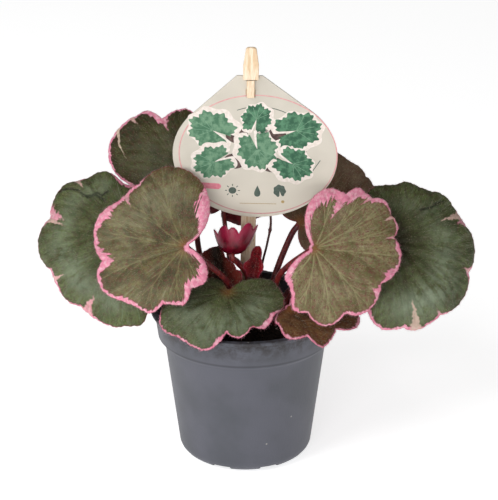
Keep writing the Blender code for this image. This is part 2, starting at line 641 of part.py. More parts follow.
def tag_outline():
    """The card's edge as (x, height) along the stick: a slightly turned oval whose upper part
    narrows in two straight lines to a blunt tip."""
    turn = math.radians(TAG_TURN)
    long_axis = np.array([math.cos(turn), math.sin(turn)])
    short_axis = np.array([-math.sin(turn), math.cos(turn)])
    centre, (radius_long, radius_short) = np.array(TAG_CENTRE), TAG_RADII
    touches = []
    for tip_x, side in zip(TAG_TIP, (1, -1)):
        out = np.array([tip_x, TAG_TIP_HEIGHT]) - centre
        scaled_long, scaled_short = out @ long_axis / radius_long, out @ short_axis / radius_short
        distance = math.hypot(scaled_long, scaled_short)
        touches.append(math.atan2(scaled_short, scaled_long) + side * math.acos(1 / distance))
    left_touch, right_touch = touches
    points = [tuple(centre + radius_long * math.cos(a) * long_axis
                    + radius_short * math.sin(a) * short_axis)
              for a in np.linspace(left_touch, 2 * math.pi + right_touch, TAG_ARC_POINTS)]
    return points + [(x, TAG_TIP_HEIGHT) for x in TAG_TIP[::-1]]


def add_tag():
    finish = material("tag", (0.62, 0.58, 0.52), 0.6)
    outline = tag_outline()
    back, front = -TAG_GAP, -TAG_GAP - TAG_THICKNESS
    count = len(outline)
    points = [(x, front, z) for x, z in outline] + [(x, back, z) for x, z in outline]
    faces = [tuple(range(count)), tuple(range(count, 2 * count))[::-1]]
    faces += [(i, (i + 1) % count, count + (i + 1) % count, count + i) for i in range(count)]
    tag = add_object("tag", points, faces, finish, stick_frame())
    width, height = SLOT_OPENING
    slot = prism("slot", box_outline(width, front - 1, back + 0.3), SLOT_HEIGHT - height / 2,
                 SLOT_HEIGHT + height / 2, finish, stick_frame())
    bpy.context.view_layer.update()
    apply_boolean(tag, slot, "DIFFERENCE")
    tag.data.set_sharp_from_angle(angle=math.radians(30))


def add_stolon():
    """The runner, with one swollen node, and a plantlet's closed bud at its end."""
    finish = material("stolon", (0.07, 0.01, 0.012), 0.5)
    path = smooth_route(STOLON_ROUTE, 26)
    lead = np.array(STOLON_ROUTE[1], float)
    path = np.array([STOLON_ROUTE[0], lead, *path[path[:, 2] > lead[2] + 2]])
    radii = np.full(len(path), STOLON_RADIUS)
    node = int(np.argmin(np.abs(path[: len(path) // 2, 2] - STOLON_NODE_Z)))
    radii[node] = STOLON_NODE_RADIUS
    bud = (1.0, 1.0, 0.75, 0.2)
    radii[-4:] = [STOLON_BUD_RADIUS * share for share in bud]
    rings = tube_rings(path, radii, STALK_SIDES, (1, 0, 0))
    faces = [(0, i, i + 1) for i in range(1, STALK_SIDES - 1)]
    for k in range(len(rings) - 1):
        faces += bridge(k * STALK_SIDES, (k + 1) * STALK_SIDES, STALK_SIDES)
    last = (len(rings) - 1) * STALK_SIDES
    faces += [(last, last + i + 1, last + i) for i in range(1, STALK_SIDES - 1)]
    add_object("stolon", np.concatenate(rings), faces, finish)


def main():
    for old in list(bpy.data.objects):
        bpy.data.objects.remove(old)
    add_pot()
    add_soil()
    for design in LEAVES:
        add_leaf(design)
    add_stolon()
    add_stick()
    add_tag()


main()
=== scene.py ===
"""Dresses the potted strawberry begonia and sets the studio for its photograph.

Lengths are in millimetres and angles in degrees until a mesh is made. Leaves repeat the designs
of the part's source, on a finer grid and with veins, coloured margins and hairs.
"""

import math
from types import SimpleNamespace

import bmesh
import bpy
import numpy as np
from mathutils import Matrix, Vector, noise
from mathutils.kdtree import KDTree


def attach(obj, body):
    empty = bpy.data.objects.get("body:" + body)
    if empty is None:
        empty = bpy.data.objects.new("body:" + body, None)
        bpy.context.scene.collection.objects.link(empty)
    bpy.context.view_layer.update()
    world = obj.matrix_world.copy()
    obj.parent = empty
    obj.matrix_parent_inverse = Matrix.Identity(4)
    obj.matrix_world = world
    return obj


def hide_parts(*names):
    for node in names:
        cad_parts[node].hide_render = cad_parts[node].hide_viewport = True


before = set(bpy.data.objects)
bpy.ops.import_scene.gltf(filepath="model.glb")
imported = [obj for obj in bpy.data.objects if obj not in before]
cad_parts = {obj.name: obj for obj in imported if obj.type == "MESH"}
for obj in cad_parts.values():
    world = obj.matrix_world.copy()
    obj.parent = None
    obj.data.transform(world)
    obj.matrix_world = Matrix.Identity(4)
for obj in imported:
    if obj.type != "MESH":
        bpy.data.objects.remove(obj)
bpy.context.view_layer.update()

MM = 0.001
CLEARANCE = 0.3
random = np.random.default_rng(11)

# Pot
POT_HEIGHT = 85.8
LIP_RADIUS = 52.5
LIP_HEIGHT = 1.8
LIP_CORNER = 0.25
LIP_ROUNDING = 0.7
BAND_TOP_RADIUS = 50.5
BAND_FOOT_RADIUS = 48.7
BAND_FOOT = POT_HEIGHT - 15.5
SHOULDER_RADIUS = 45.0
SHOULDER_HEIGHT = 4.0
SHOULDER_FOOT = BAND_FOOT - SHOULDER_HEIGHT
SHOULDER_BULGE = 1.4
FOOT_RADIUS = 36.6
FOOT_CORNER = 7.0
WALL = 1.3
POT_SIDES = 144
NOTCH_COUNT = 8
NOTCH_WIDTH = 11.0
NOTCH_HEIGHT = 3.0
NOTCH_INNER_RADIUS = 27.0
NOTCH_OUTER_RADIUS = 50.0
DRAIN_RADIUS = 2.6
DRAIN_CIRCLE = 30.5
DRAIN_SIDES = 32
CUT_OVERLAP = 4.0

# Soil
SOIL_TOP = 76.0
SOIL_UNEVEN = 1.2
SOIL_BOTTOM = 4.8
SOIL_SIDES = 240
SOIL_RINGS = 54
CRUMB_COUNT = 620
PALE_CRUMB_STEP = 14
STALK_DEPTH = 12.0
STALK_LEAD = 4.0

# Leaves
BLADE_THICKNESS = 0.8
EDGE_THICKNESS = 0.5
EDGE_BULGE = 0.14
STALK_RADIUS = 1.7
SINUS_REACH = 2.3
STALK_RING = 1.5
STALK_SIDES = 12
STALK_PIECES = 30
LOBE_ROUNDNESS = 2.0
SINUS_ROUNDNESS = 1.5
FORM_REACH = 40.0
ROLL_START = 0.68
FULL_FORM_REACH = 18.0
PLUMB_REACH = 14.0
SINUS_PLUMB = 1.5
FUNNEL_REACH = 9.0
CREASE_WIDTH = 7.0
CREASE_START = 20.0
FOLD_REACH = 10.0
CUP_REACH = 12.0
EDGE_SPACING = 0.3
UNEVEN_EDGE = 0.35

# Top of the stalk, as depths below the blade, and the first step of its route
STALK_START = 0.45
STALK_EXIT = 1.6
ROUTE_START = 2.8
ROUTE_STEP = 0.9

# Relief of the blade
VEIN_DEPTH = 0.22
SIDE_VEINS = ((0.34, 0.5), (0.62, 0.32))
SIDE_VEIN_SPREAD = 0.736
BULGE_REACH = 2.4
PUCKER_HEIGHT = 0.16
CREASE_DEPTH = 0.9
CREASE_LINE_WIDTH = 0.75
DEEPEST_RELIEF = -0.3

# Hairs
HAIR_SINK = 0.15
BLADE_HAIR_LENGTHS = (0.7, 2.1)
STALK_HAIR_LENGTHS = (1.2, 2.8)
FACE_HAIR_RADIUS = 0.034
HAIR_RADIUS = 0.05
EDGE_HAIR_SPACING = 0.55
HAIR_SPREAD = 0.35

# Stick and card
STICK_FOOT = (1.0, 17.5, SOIL_TOP)
STICK_LEAN = 12.0
STICK_SIDE_LEAN = 0.8
STICK_DEPTH = 45.0
STICK_WIDTH = 8.2
STICK_THICKNESS = 2.4
STICK_CHAMFER = 0.35
STICK_NECK_WIDTH = 4.1
STICK_NECK_THICKNESS = 1.5
STICK_HEAD_TIP_WIDTH = 5.6
STICK_HEAD_FOOT = 148.0
STICK_TOP = 167.0
SLOT_HEIGHT = 139.5
SLOT_OPENING = (5.2, 5.0)
TAG_THICKNESS = 0.7
TAG_ARC_POINTS = 161
TAG_GAP = 0.4
TAG_FRONT = -TAG_GAP - TAG_THICKNESS
TAG_CENTRE = (3.0, 101.0)
TAG_RADII = (44.3, 38.3)
TAG_TURN = -5.7
TAG_TIP = (-7.3, 6.2)
TAG_TIP_HEIGHT = 149.8

# The card's print, in places (x, height) along the stick
INK_THICKNESS = 0.02
RING_CENTRE = (4.6, 101.6)
RING_RADII = (42.4, 36.6)
ARC_CENTRE = (4.6, 100.4)
ARC_RADIUS = 31.0
PRINTED_LEAVES = [((-19, 117.5), 15, 150), ((4, 123.5), 10.5, 78), ((-19, 98.5), 13, 205),
                  ((24.5, 116), 15, 15), ((3, 105.5), 14, -75), ((22.5, 96), 13, -32)]
PRINTED_GAPS = [((-7, 114), 6), ((14, 114), 5.5), ((-8, 98), 6), ((12.5, 96), 6),
                ((-18, 108), 5), ((26, 106), 5)]
SUN_PLACE = (-9.0, 79.5)
DROP_PLACE = (4.5, 79.3)
LEAF_SIGN_PLACE = (16.6, 79.5)
SHORT_LINES = [((34.5, 118), (37, 114)), ((38, 99), (34.2, 92.4)), ((33.6, 93.4), (30.6, 90))]

# Stolon
STOLON_RADIUS = 0.65
STOLON_NODE_RADIUS = 1.1
STOLON_NODE_LENGTH = 1.1
STOLON_BUD_RADIUS = 1.9
STOLON_BUD_LENGTH = 9.0
STOLON_ROUTE = [(10.5, 4.5, SOIL_TOP - STALK_DEPTH), (10.5, 4.5, SOIL_TOP + STALK_LEAD),
                (8.8, 5, 103), (12, 5, 120), (14, 5, 131), (14.2, 5, 140), (17.5, 7, 150),
                (20.5, 13, 157), (22, 21, 159), (22.5, 29, 154)]
STOLON_NODE_Z = 131.0

# Studio, with places and sizes in metres
FLOOR_HALF = 8.0
LIGHTS = [dict(name="key", place=(-1.2, -1.1, 1.5), target=(0, 0, 0.1), size=1.1, power=18),
          dict(name="fill", place=(-0.35, -1.7, 0.6), target=(0, 0, 0.12), size=1.0, power=11)]
CAMERA_PLACE = (0.0021, -0.9307, 0.4845)
CAMERA_TILT = 68.55
CAMERA_LENS = 130.9


def colour(red, green, blue):
    """A screen colour of 0 to 255 as a linear one."""
    shares = [channel / 255 for channel in (red, green, blue)]
    linear = [s / 12.92 if s <= 0.04045 else ((s + 0.055) / 1.055) ** 2.4 for s in shares]
    return (*linear, 1.0)


def leaf_tones(*tones):
    """A leaf's colours from screen colours in the order of these names, flank only for some."""
    names = ("deep", "light", "brown", "speck", "vein", "silver", "flank")
    return {name: colour(*tone) for name, tone in zip(names, tones)}


PINK = colour(232, 140, 168)
PALE_PINK = colour(242, 184, 198)
CRIMSON = colour(168, 40, 74)
CREAM = colour(206, 190, 164)
MAROON = colour(84, 14, 24)
UNDER_PALE = colour(118, 26, 40)
OLIVE = leaf_tones((62, 60, 30), (112, 106, 62), (106, 74, 50), (96, 46, 40), (148, 144, 98),
                   (146, 146, 116))
WARM_OLIVE = leaf_tones((96, 92, 54), (138, 129, 90), (130, 98, 76), (112, 54, 54),
                        (168, 166, 120), (164, 156, 132))
GREEN_GREY = leaf_tones((56, 68, 30), (92, 104, 56), (86, 76, 44), (68, 52, 34), (110, 122, 76),
                        (136, 148, 124))
# Olive darkened as painted shade, for the leaves at the back and behind the card.
SHADED_OLIVE = leaf_tones((42, 46, 20), (68, 68, 32), (70, 50, 28), (66, 36, 26), (92, 96, 54),
                        (98, 102, 72))
BROWN = leaf_tones((94, 76, 54), (124, 104, 78), (116, 84, 66), (106, 60, 50), (138, 116, 84),
                   (146, 132, 112))
RUST = leaf_tones((78, 54, 30), (112, 80, 46), (110, 56, 38), (86, 34, 28), (132, 96, 58),
                  (120, 98, 72))
MAGENTA = leaf_tones((112, 14, 44), (164, 36, 78), (92, 10, 34), (78, 8, 26), (186, 72, 104),
                     (206, 104, 134))
RED = leaf_tones((96, 8, 20), (146, 20, 34), (70, 6, 12), (40, 4, 8), (120, 30, 28),
                 (130, 44, 42), (160, 18, 38))
FOLDED = leaf_tones((26, 22, 14), (44, 34, 22), (58, 24, 18), (60, 16, 14), (70, 40, 28),
                    (64, 56, 42), (116, 36, 24))

# The card's inks: two tones that mingle, and how finely
INKS = {"ring": ((214, 150, 152), (222, 168, 166), 0.6),
        "leaf": ((48, 92, 68), (88, 136, 104), 0.3),
        "pale_leaf": ((70, 114, 86), (112, 150, 120), 0.3),
        "cream": ((226, 214, 204), (238, 228, 220), 0.6),
        "vein": ((112, 150, 122), (128, 164, 136), 0.6),
        "gap": ((70, 52, 50), (104, 84, 78), 0.4),
        "sign": ((78, 92, 84), (92, 106, 96), 0.6),
        "gold": ((176, 148, 96), (190, 164, 112), 0.6),
        "pink": ((226, 130, 146), (234, 146, 160), 0.6)}


def leaf(name, at, face, midrib, sinus, edge, stalk, base, **form):
    """One leaf's design. at is where the stalk meets the blade, face the blade's outward side and
    midrib its direction. edge lists (angle, reach) for the tips of the lobes and the notches
    between them in turn, and starts and ends with a tip. sinus gives the two angles between
    which the edge runs. stalk lists points on the stalk from the blade down, and base is where
    it enters the soil. margin lists (angle, width) of the pink border. wedges lists
    (angle, length, half angle, cream share, bend) of pale wedges that run in from the edge, and
    creases lists lines of (x, y) along which the blade is folded in. glow lists
    (angle, share of the reach, half angle, half share, strength) of painted silvery highlights."""
    usual = dict(dome=6.0, funnel=0.0, roll=2.0, wave=0.6, crease=0.0, droop=0.0, droop_from=0.0,
                 fold=0.0, cup=0.0, stalk_radius=STALK_RADIUS, grain=0.75, tones=OLIVE,
                 margin=[(0, 0.6)], wedges=[], creases=[], veins=0.35, silver=0.3, hairs=1400,
                 bulge=0.5, shade=0.15, crease_dark=0.8, sheen=0.04, glow=[], flank=0.0,
                 blush=0.0, heart=0.6, under=(MAROON, UNDER_PALE), slot="leaf")
    basics = dict(name=name, at=at, face=face, midrib=midrib, sinus=sinus, edge=edge,
                  stalk=stalk, base=base)
    return usual | basics | form


def mirrored(half):
    """An edge that is alike on both sides of the midrib, from its half up to angle 0."""
    return half + [(-angle, reach) for angle, reach in half[-2::-1]]


FAR_FORM = dict(dome=7, funnel=4, roll=4, wave=0.8, tones=GREEN_GREY, veins=0.2, silver=0.3,
                hairs=3000, bulge=0.7)
REAR_FORM = dict(dome=9, roll=2, wave=0.8, stalk_radius=1.5, tones=OLIVE, veins=0.5, silver=0.4)

LEAVES = [
    leaf("leaf_left_front", (-32, -31, 133), (-0.20, -0.90, 0.42), (-0.98, 0.21, 0), (-147, 168),
         [(-66, 46.2), (-47, 44.2), (-36, 46), (-25, 48.3), (-6, 55.5), (13, 48.5), (24, 54.5),
          (38, 49.5), (60, 42.2), (72, 33), (88, 31.5), (102, 22.7), (119, 22)],
         [(-20, -24, 120), (-8.6, -14.6, 104.5)], (-1, -4), dome=5, crease=2.5, wave=1.0,
         roll=2.5, grain=0.5, tones=OLIVE, veins=0.5, silver=0.5, hairs=3800,
         crease_dark=0.35,
         margin=[(-136, 1.5), (-130, 4.5), (-120, 7), (-110, 6.5), (-101, 0.5), (-56, 0.1),
                 (-43, 2.2), (-26, 2.4), (-20, 5.6), (-14, 4.6), (-6, 2.8), (6, 3), (13, 6),
                 (18, 3), (33, 2), (46, 3), (54, 1.8), (70, 1.6), (85, 2.2), (94, 2.4), (102, 4),
                 (110, 5), (130, 4.6), (140, 5), (147, 3)],
         wedges=[(-35, 10, 2.2, 0.2, 0.6), (-18, 7, 4, 0.1, 0), (13, 9, 4, 0, 0),
                 (110, 7, 5, 0, 0), (-112, 8, 4, 0, 0)],
         glow=[(-6, 0.7, 36, 0.3, 0.3), (60, 0.8, 30, 0.25, 0.25), (-58, 0.62, 34, 0.24, 0.4)],
         creases=[[(1, 0.7), (8.5, 2.9), (15, 5.8), (22.5, 9.6)]]),
    leaf("leaf_right_front", (36.5, -27, 130.5), (0.18, -0.88, 0.44), (0.97, 0.1, -0.21),
         (-146, 130),
         [(-122, 22.8), (-106, 28), (-96, 35), (-86, 34.6), (-68, 42.3), (-54, 39.1), (-35, 46),
          (-17, 42.7), (5, 51), (17, 46.5), (24, 51), (32, 48.5), (39, 50.5), (48, 44.2),
          (58, 43.8), (66, 35.5), (77, 35.5)],
         [(23, -17, 116), (17.2, -10.5, 104)], (16.5, -3.5), dome=4, wave=0.8, roll=1.5,
         grain=0.5, tones=WARM_OLIVE, veins=0.65, silver=0.3, hairs=3200, shade=0.04,
         margin=[(-146, 2), (-132, 3.4), (-122, 3.2), (-110, 2.4), (-96, 1.7), (-86, 1.1),
                 (-70, 1.1), (-56, 1.3), (-50, 2), (-38, 1.5), (-31, 0.9), (-22, 3.6),
                 (-17, 0.9), (-9, 4.8),
                 (2, 1.2), (10, 4), (16, 0.5), (24, 1.7), (31, 0.4), (40, 2.2), (51, 2.8),
                 (56, 6.4), (70, 5), (82, 7), (94, 6.4), (105, 4.4), (113, 3.6), (130, 1.6)],
         wedges=[(66, 18, 11, 0, 0), (48, 9, 1.8, 0.2, 0.3), (30, 7, 1.5, 0.5, 0),
                 (17, 6, 1.5, 0.2, 0), (-9, 7, 3, 0, 0), (-24, 6, 2.5, 0, 0)],
         glow=[(70, 0.5, 40, 0.25, 0.2), (-60, 0.6, 50, 0.3, 0.15)]),
    leaf("leaf_far_left", (-62, 6, 123), (-0.20, -0.85, 0.48), (-0.96, 0.22, -0.1), (-150, 150),
         [(-120, 24), (-100, 26), (-84, 31.4), (-74, 35.3), (-55, 47), (-42, 52), (-31, 57.5),
          (-15, 54), (-1, 60.5), (17, 53), (33, 53), (49, 48.3), (73, 49.6), (83, 48),
          (91, 47.5), (106, 33), (120, 28)],
         [(-44, 8, 119), (-22, 5, 104)], (-6, 1.5), **FAR_FORM, shade=0.8,
         margin=[(-150, 0.1), (-100, 1.4), (-86, 1.8), (-76, 2), (-70, 1.2), (-66, 0.2), (-50, 0.2),
                 (-46, 1.4), (-42, 0.2), (-22, 0.8), (-18, 2.4),
                 (-12, 1), (0, 0.3), (14, 0.3), (20, 2.4), (26, 1.8), (36, 0.6), (50, 1.4),
                 (56, 2.2), (64, 1), (84, 0.4), (150, 0.2)],
         wedges=[(-17, 12, 7, 0.1, 0), (-14, 17, 1.9, 0.7, 0.15), (23, 9, 1.8, 0.5, 0.2),
                 (55, 11, 5, 0.3, 0), (-44, 8, 1.8, 0.6, 0)],
         glow=[(30, 0.72, 36, 0.16, 0.6), (-24, 0.74, 22, 0.12, 0.3), (-56, 0.78, 16, 0.12, 0.4),
               (78, 0.72, 22, 0.14, 0.4)],
         creases=[[(49, -30), (42, -30.7), (34, -28.8), (29.6, -25.2), (25.5, -25),
                   (22, -26.7), (19, -24.7), (15.6, -27.2)],
                  [(30.4, -25.9), (26.8, -24), (22.9, -25.5), (17, -22)]]),
    leaf("leaf_far_right", (78, 4, 121.5), (0.20, -0.85, 0.48), (0.96, 0.2, -0.1), (-150, 150),
         [(-120, 34), (-104, 40), (-86, 47.6), (-76, 47.8), (-64, 51.5), (-49, 51.4), (-28, 56.3),
          (-16, 53), (-1, 55.9), (14, 51), (31, 48.5), (47, 42), (62, 39.5), (77, 34.5),
          (96, 33.2)],
         [(60, 7, 118), (36, 5, 104)], (20, 3), **FAR_FORM, shade=0.9,
         margin=[(-150, 0.5), (-104, 2), (-84, 1.2), (-72, 2.4), (-62, 1.2), (-50, 1.6),
                 (-40, 0.4), (-22, 0.6), (-16, 2.6), (-10, 0.4), (12, 0.6), (19, 2.6), (26, 0.4),
                 (60, 0.1), (150, 0.1)],
         wedges=[(21, 16, 3.2, 0.7, 0.1), (16, 7, 3, 0.1, 0), (-68, 18, 4.6, 0.8, 0.15),
                 (-15, 7, 2, 0.4, 0), (-50, 5, 2, 0.2, 0)],
         glow=[(-60, 0.74, 30, 0.17, 0.95), (-12, 0.58, 36, 0.17, 0.5), (45, 0.62, 36, 0.17, 0.35)],
         creases=[[(20, 18.9), (26.5, 20.5), (30.1, 23.2), (36.2, 25.5)]]),
    leaf("leaf_back_left", (-28, 22, 148), (-0.12, -0.86, 0.50), (-0.83, 0.36, 0.42),
         (-150, 150),
         [(-125, 28), (-100, 31), (-75, 35), (-60, 38), (-45, 48), (-31, 45.4), (-22, 56.5),
          (-15, 57.5), (-2, 59.5), (32, 33), (48, 35), (64, 31), (82, 31), (102, 27), (120, 25)],
         [(-28, 24, 130), (-24, 14, 105)], (-10, 7), dome=5, roll=2, wave=0.8,
         tones=SHADED_OLIVE, veins=0.25, silver=0.35, hairs=1900,
         margin=[(-150, 0.3), (-60, 0.6), (-42, 1.4), (-33, 2), (-31, 3.6), (-26, 2.4),
                 (-20, 1.2), (-10, 2), (-2, 2), (4, 1.4), (13, 2.4), (20, 1.2), (28, 1.8),
                 (40, 1), (150, 0.4)],
         wedges=[(-31, 9, 5, 0.1, 0), (-15, 8, 1.5, 0.6, 0), (-6, 17, 1.7, 0.9, 1.1)],
         glow=[(-10, 0.5, 50, 0.2, 0.35)]),
    leaf("leaf_back_right", (31, 26, 125.5), (0.18, -0.78, 0.60), (0.74, 0.50, 0.45),
         (-150, 135),
         [(-118, 16), (-95, 20), (-70, 30), (-50, 36), (-25, 49.5), (-17, 50.5), (-9, 53),
          (-3, 52), (3, 53.3), (11, 51.3), (20, 52), (26, 50.6), (34, 51), (50, 44), (64, 40),
          (84, 26), (104, 13)],
         [(25.5, 25.5, 117), (16.8, 15, 98)], (13, 9), dome=4, roll=2, wave=0.3,
         stalk_radius=1.9, tones=BROWN, veins=0.2, silver=0.25, hairs=1600,
         margin=[(-150, 0), (135, 0)], glow=[(-8, 0.85, 30, 0.1, 0.3)]),
    leaf("leaf_rim_left", (-9.5, -24, 104), (-0.04, -0.32, 0.95), (-0.35, -0.9, -0.3),
         (-148, 168),
         [(-125, 19), (-100, 25), (-69, 34.2), (-57, 36.5), (-44, 40.2), (-26, 37.7), (-2, 36.8),
          (19, 27.9), (33, 30.6), (48, 28.5), (60, 32), (76, 30.7), (92, 31.5), (110, 29.5),
          (134, 27.5)],
         [(-5, -18, 96), (2, -11, 88)], (4, -8), dome=2, droop=10, droop_from=4, wave=1.0,
         roll=1.5, tones=GREEN_GREY, veins=0.3, silver=0.5, hairs=2400,
         margin=[(-148, 0.2), (-62, 0.3), (-50, 1), (6, 1), (12, 2.8), (20, 1), (52, 0.8),
                 (60, 2.8), (73, 2.2), (90, 0.4), (168, 0.2)],
         glow=[(-40, 0.6, 50, 0.25, 0.6), (70, 0.6, 40, 0.25, 0.55), (20, 0.8, 40, 0.2, 0.4)]),
    leaf("leaf_rim_right", (23.9, -31, 97.4), (0.32, -0.40, 0.86), (0.66, -0.58, -0.52),
         (-108, 135),
         [(-76, 13.5), (-62, 16), (-42, 19.3), (-10, 18.8), (8, 28), (36, 28.5), (61, 44.5),
          (78, 38), (96, 30)],
         [(20, -27, 92), (14, -15, 91)], (11.5, -7), dome=2, droop=3, wave=0.8, roll=1.5,
         tones=RUST, veins=0.35, silver=0.2, hairs=1300,
         margin=[(-108, 0.8), (-50, 1.2), (-44, 2), (-38, 1), (40, 1), (60, 2.2), (135, 1)]),
    leaf("leaf_behind_tag", (-12, 12.6, 140), (0.05, 0.98, 0.18), (0.5, -0.18, 0.84),
         (-172, 172),
         mirrored([(-150, 8.5), (-120, 12), (-95, 16), (-70, 23), (-50, 25), (-28, 31),
                   (-14, 31), (0, 33)]),
         [(-11, 9.8, 128), (-8, 9, 104)], (-4, 8.5), dome=4, wave=0.4, stalk_radius=1.4,
         tones=SHADED_OLIVE, hairs=700, margin=[(-150, 0.8), (150, 0.8)]),
    leaf("leaf_rear_left", (-42, 36, 96), (-0.38, 0.45, 0.80), (-0.62, 0.60, -0.50),
         (-150, 150),
         mirrored([(-122, 24), (-95, 27), (-68, 34), (-45, 34), (-22, 40), (0, 37)]),
         [(-34, 29, 96), (-20, 20, 91)], (-10, 14), **REAR_FORM,
         margin=[(-150, 1), (-100, 2.4), (-60, 1.4), (-30, 4), (0, 3), (24, 1.6), (45, 5),
                 (70, 2), (110, 3), (150, 1)],
         wedges=[(0, 9, 5, 0.1, 0), (-50, 7, 4, 0.2, 0), (45, 8, 5, 0, 0)]),
    leaf("leaf_rear_right", (50, 36, 95), (0.38, 0.45, 0.80), (0.62, 0.60, -0.50),
         (-150, 150),
         mirrored([(-122, 22), (-95, 25), (-68, 33), (-45, 33), (-22, 39), (0, 36)]),
         [(40, 28, 96), (28, 19, 91)], (20, 13), **REAR_FORM,
         margin=[(-150, 1), (-110, 2), (-68, 4), (-40, 1.6), (-10, 3), (20, 2), (50, 3.4),
                 (80, 1.6), (120, 3), (150, 1)],
         wedges=[(-45, 10, 5, 0.1, 0), (12, 7, 3, 0.4, 0.4), (70, 7, 4, 0, 0)]),
    leaf("leaf_rear_middle", (0, 75, 72), (0.0, 0.88, 0.48), (0.05, 0.48, -0.88),
         (-150, 150),
         mirrored([(-122, 17), (-95, 19), (-68, 25), (-45, 24), (-22, 29), (0, 27)]),
         [(0, 68, 80), (2, 54, 92), (6, 34, 92), (10, 22, 86)], (11, 16), dome=8, wave=0.8,
         roll=2, stalk_radius=1.3, tones=WARM_OLIVE, veins=0.6, silver=0.3, hairs=900,
         margin=[(-150, 1), (-95, 3), (-60, 2), (-22, 3.6), (10, 2), (45, 4), (90, 2), (150, 1)],
         wedges=[(0, 8, 5, 0.1, 0), (-70, 6, 4, 0, 0)]),
    leaf("leaf_folded", (-12, -1, 95), (-0.35, -0.85, 0.30), (-0.28, 0.05, 0.96), (-160, 160),
         [(-95, 8), (-80, 13), (-64, 17.5), (-50, 16), (-34, 17.6), (-16, 19.2), (0, 25),
          (25, 22), (50, 18), (75, 12), (100, 8)],
         [(-8, 0, 88)], (0, 2.5), dome=0, fold=6, wave=0.3, roll=0, stalk_radius=1.2,
         grain=0.5, tones=FOLDED, hairs=420, sheen=0.0, margin=[(-100, 0), (100, 0)],
         bulge=0.2, flank=0.85),
    leaf("leaf_young_pink", (-7.2, -8, 120.5), (0.1, 0.5, 0.86), (0.1, -0.86, 0.5), (-172, 172),
         [(-150, 10.2), (-122, 9.6), (-88, 11), (-62, 9.9), (-32, 11.4), (-21, 10.7), (-9, 11.2),
          (10, 10.2), (34, 12.2), (56, 11.4), (80, 12.4), (105, 10.9), (135, 11)],
         [(-3.5, -5.5, 113), (1.5, -2, 104)], (5.5, 4), dome=0, cup=15, wave=0, roll=0,
         stalk_radius=1.9, grain=0.35, tones=MAGENTA, hairs=260, silver=0.4, sheen=0.0,
         margin=[(-172, 0.5), (172, 0.5)], bulge=0.2, blush=0.5,
         under=(colour(74, 2, 18), colour(124, 10, 38)), slot="young_leaf"),
    leaf("leaf_bud_red", (5, -5.5, 107), (-0.3, -0.9, 0.3), (0.1, 0.1, 0.99), (-165, 165),
         [(-95, 4), (-70, 5), (-36, 8.5), (-18, 10), (0, 15.5), (18, 9), (36, 7.5), (70, 4.5),
          (95, 3.5)],
         [(5.5, -4, 100)], (6.5, -2), dome=0, fold=9, wave=0, roll=0, stalk_radius=1.1,
         grain=0.35, tones=RED, hairs=90, sheen=0.0, margin=[(-95, 0), (95, 0)],
         bulge=0.1, flank=0.7, heart=0.0, under=(colour(96, 8, 20), colour(150, 20, 38)),
         slot="young_leaf"),
]


class Shader:
    """Short calls that add and link the nodes of one material."""

    def __init__(self, name, roughness, specular=0.4):
        self.material = bpy.data.materials.new(name)
        self.material.use_nodes = True
        self.tree = self.material.node_tree
        self.surface = self.tree.nodes["Principled BSDF"]
        self.fill(self.surface, {"Roughness": roughness, "Specular IOR Level": specular})

    def fill(self, node, inputs):
        """Gives a node's inputs their values, or links them to other nodes' outputs."""
        for key, value in inputs.items():
            if isinstance(value, bpy.types.NodeSocket):
                self.tree.links.new(value, node.inputs[key])
            else:
                node.inputs[key].default_value = value

    def add(self, kind, output, inputs, **settings):
        """The named output of a new node."""
        node = self.tree.nodes.new(f"ShaderNode{kind}")
        for key, value in settings.items():
            setattr(node, key, value)
        self.fill(node, inputs)
        return node.outputs[output]

    def attribute(self, name, output="Fac"):
        return self.add("Attribute", output, {}, attribute_name=name)

    def place(self):
        """The piece's own coordinates in millimetres."""
        return self.stretch(self.add("TexCoord", "Object", {}), (1 / MM, 1 / MM, 1 / MM))

    def height(self):
        return self.add("SeparateXYZ", "Z", {0: self.place()})

    def stretch(self, vector, factors):
        return self.add("VectorMath", 0, {0: vector, 1: factors}, operation="MULTIPLY")

    def times(self, first, second):
        return self.add("Math", 0, {0: first, 1: second}, operation="MULTIPLY")

    def plus(self, first, second):
        return self.add("Math", 0, {0: first, 1: second}, operation="ADD")

    def less(self, first, second):
        return self.add("Math", 0, {0: first, 1: second}, operation="SUBTRACT")

    def mix(self, share, first, second):
        """The first colour where share is 0 and the second where it is 1."""
        return self.add("Mix", 2, {0: share, 6: first, 7: second}, data_type="RGBA")

    def noise(self, vector, scale, detail=3.0, roughness=0.55, distortion=0.0):
        return self.add("TexNoise", "Fac", {"Vector": vector, "Scale": scale, "Detail": detail,
                                            "Roughness": roughness, "Distortion": distortion})

    def cells(self, vector, scale, feature="F1"):
        return self.add("TexVoronoi", "Distance", {"Vector": vector, "Scale": scale},
                        feature=feature)

    def rise(self, value, start, end, top=1.0):
        """0 at start, rising smoothly to top at end. The start may be the larger of the two."""
        return self.add("MapRange", "Result", {"Value": value, "From Min": start, "From Max": end,
                                               "To Max": top}, interpolation_type="SMOOTHSTEP")

    def cover(self, base, tone, value, start, end, top=1.0):
        """The base under a tone whose share rises with value."""
        return self.mix(self.rise(value, start, end, top), base, tone)

    def bump(self, height, depth, below=None):
        """Relief of this depth in millimetres, over the relief below."""
        relief = {"Height": height, "Distance": depth * MM}
        return self.add("Bump", "Normal", relief | ({"Normal": below} if below else {}))

    def finish(self, base, normal=None):
        self.fill(self.surface, {"Base Color": base} | ({"Normal": normal} if normal else {}))
        return self.material


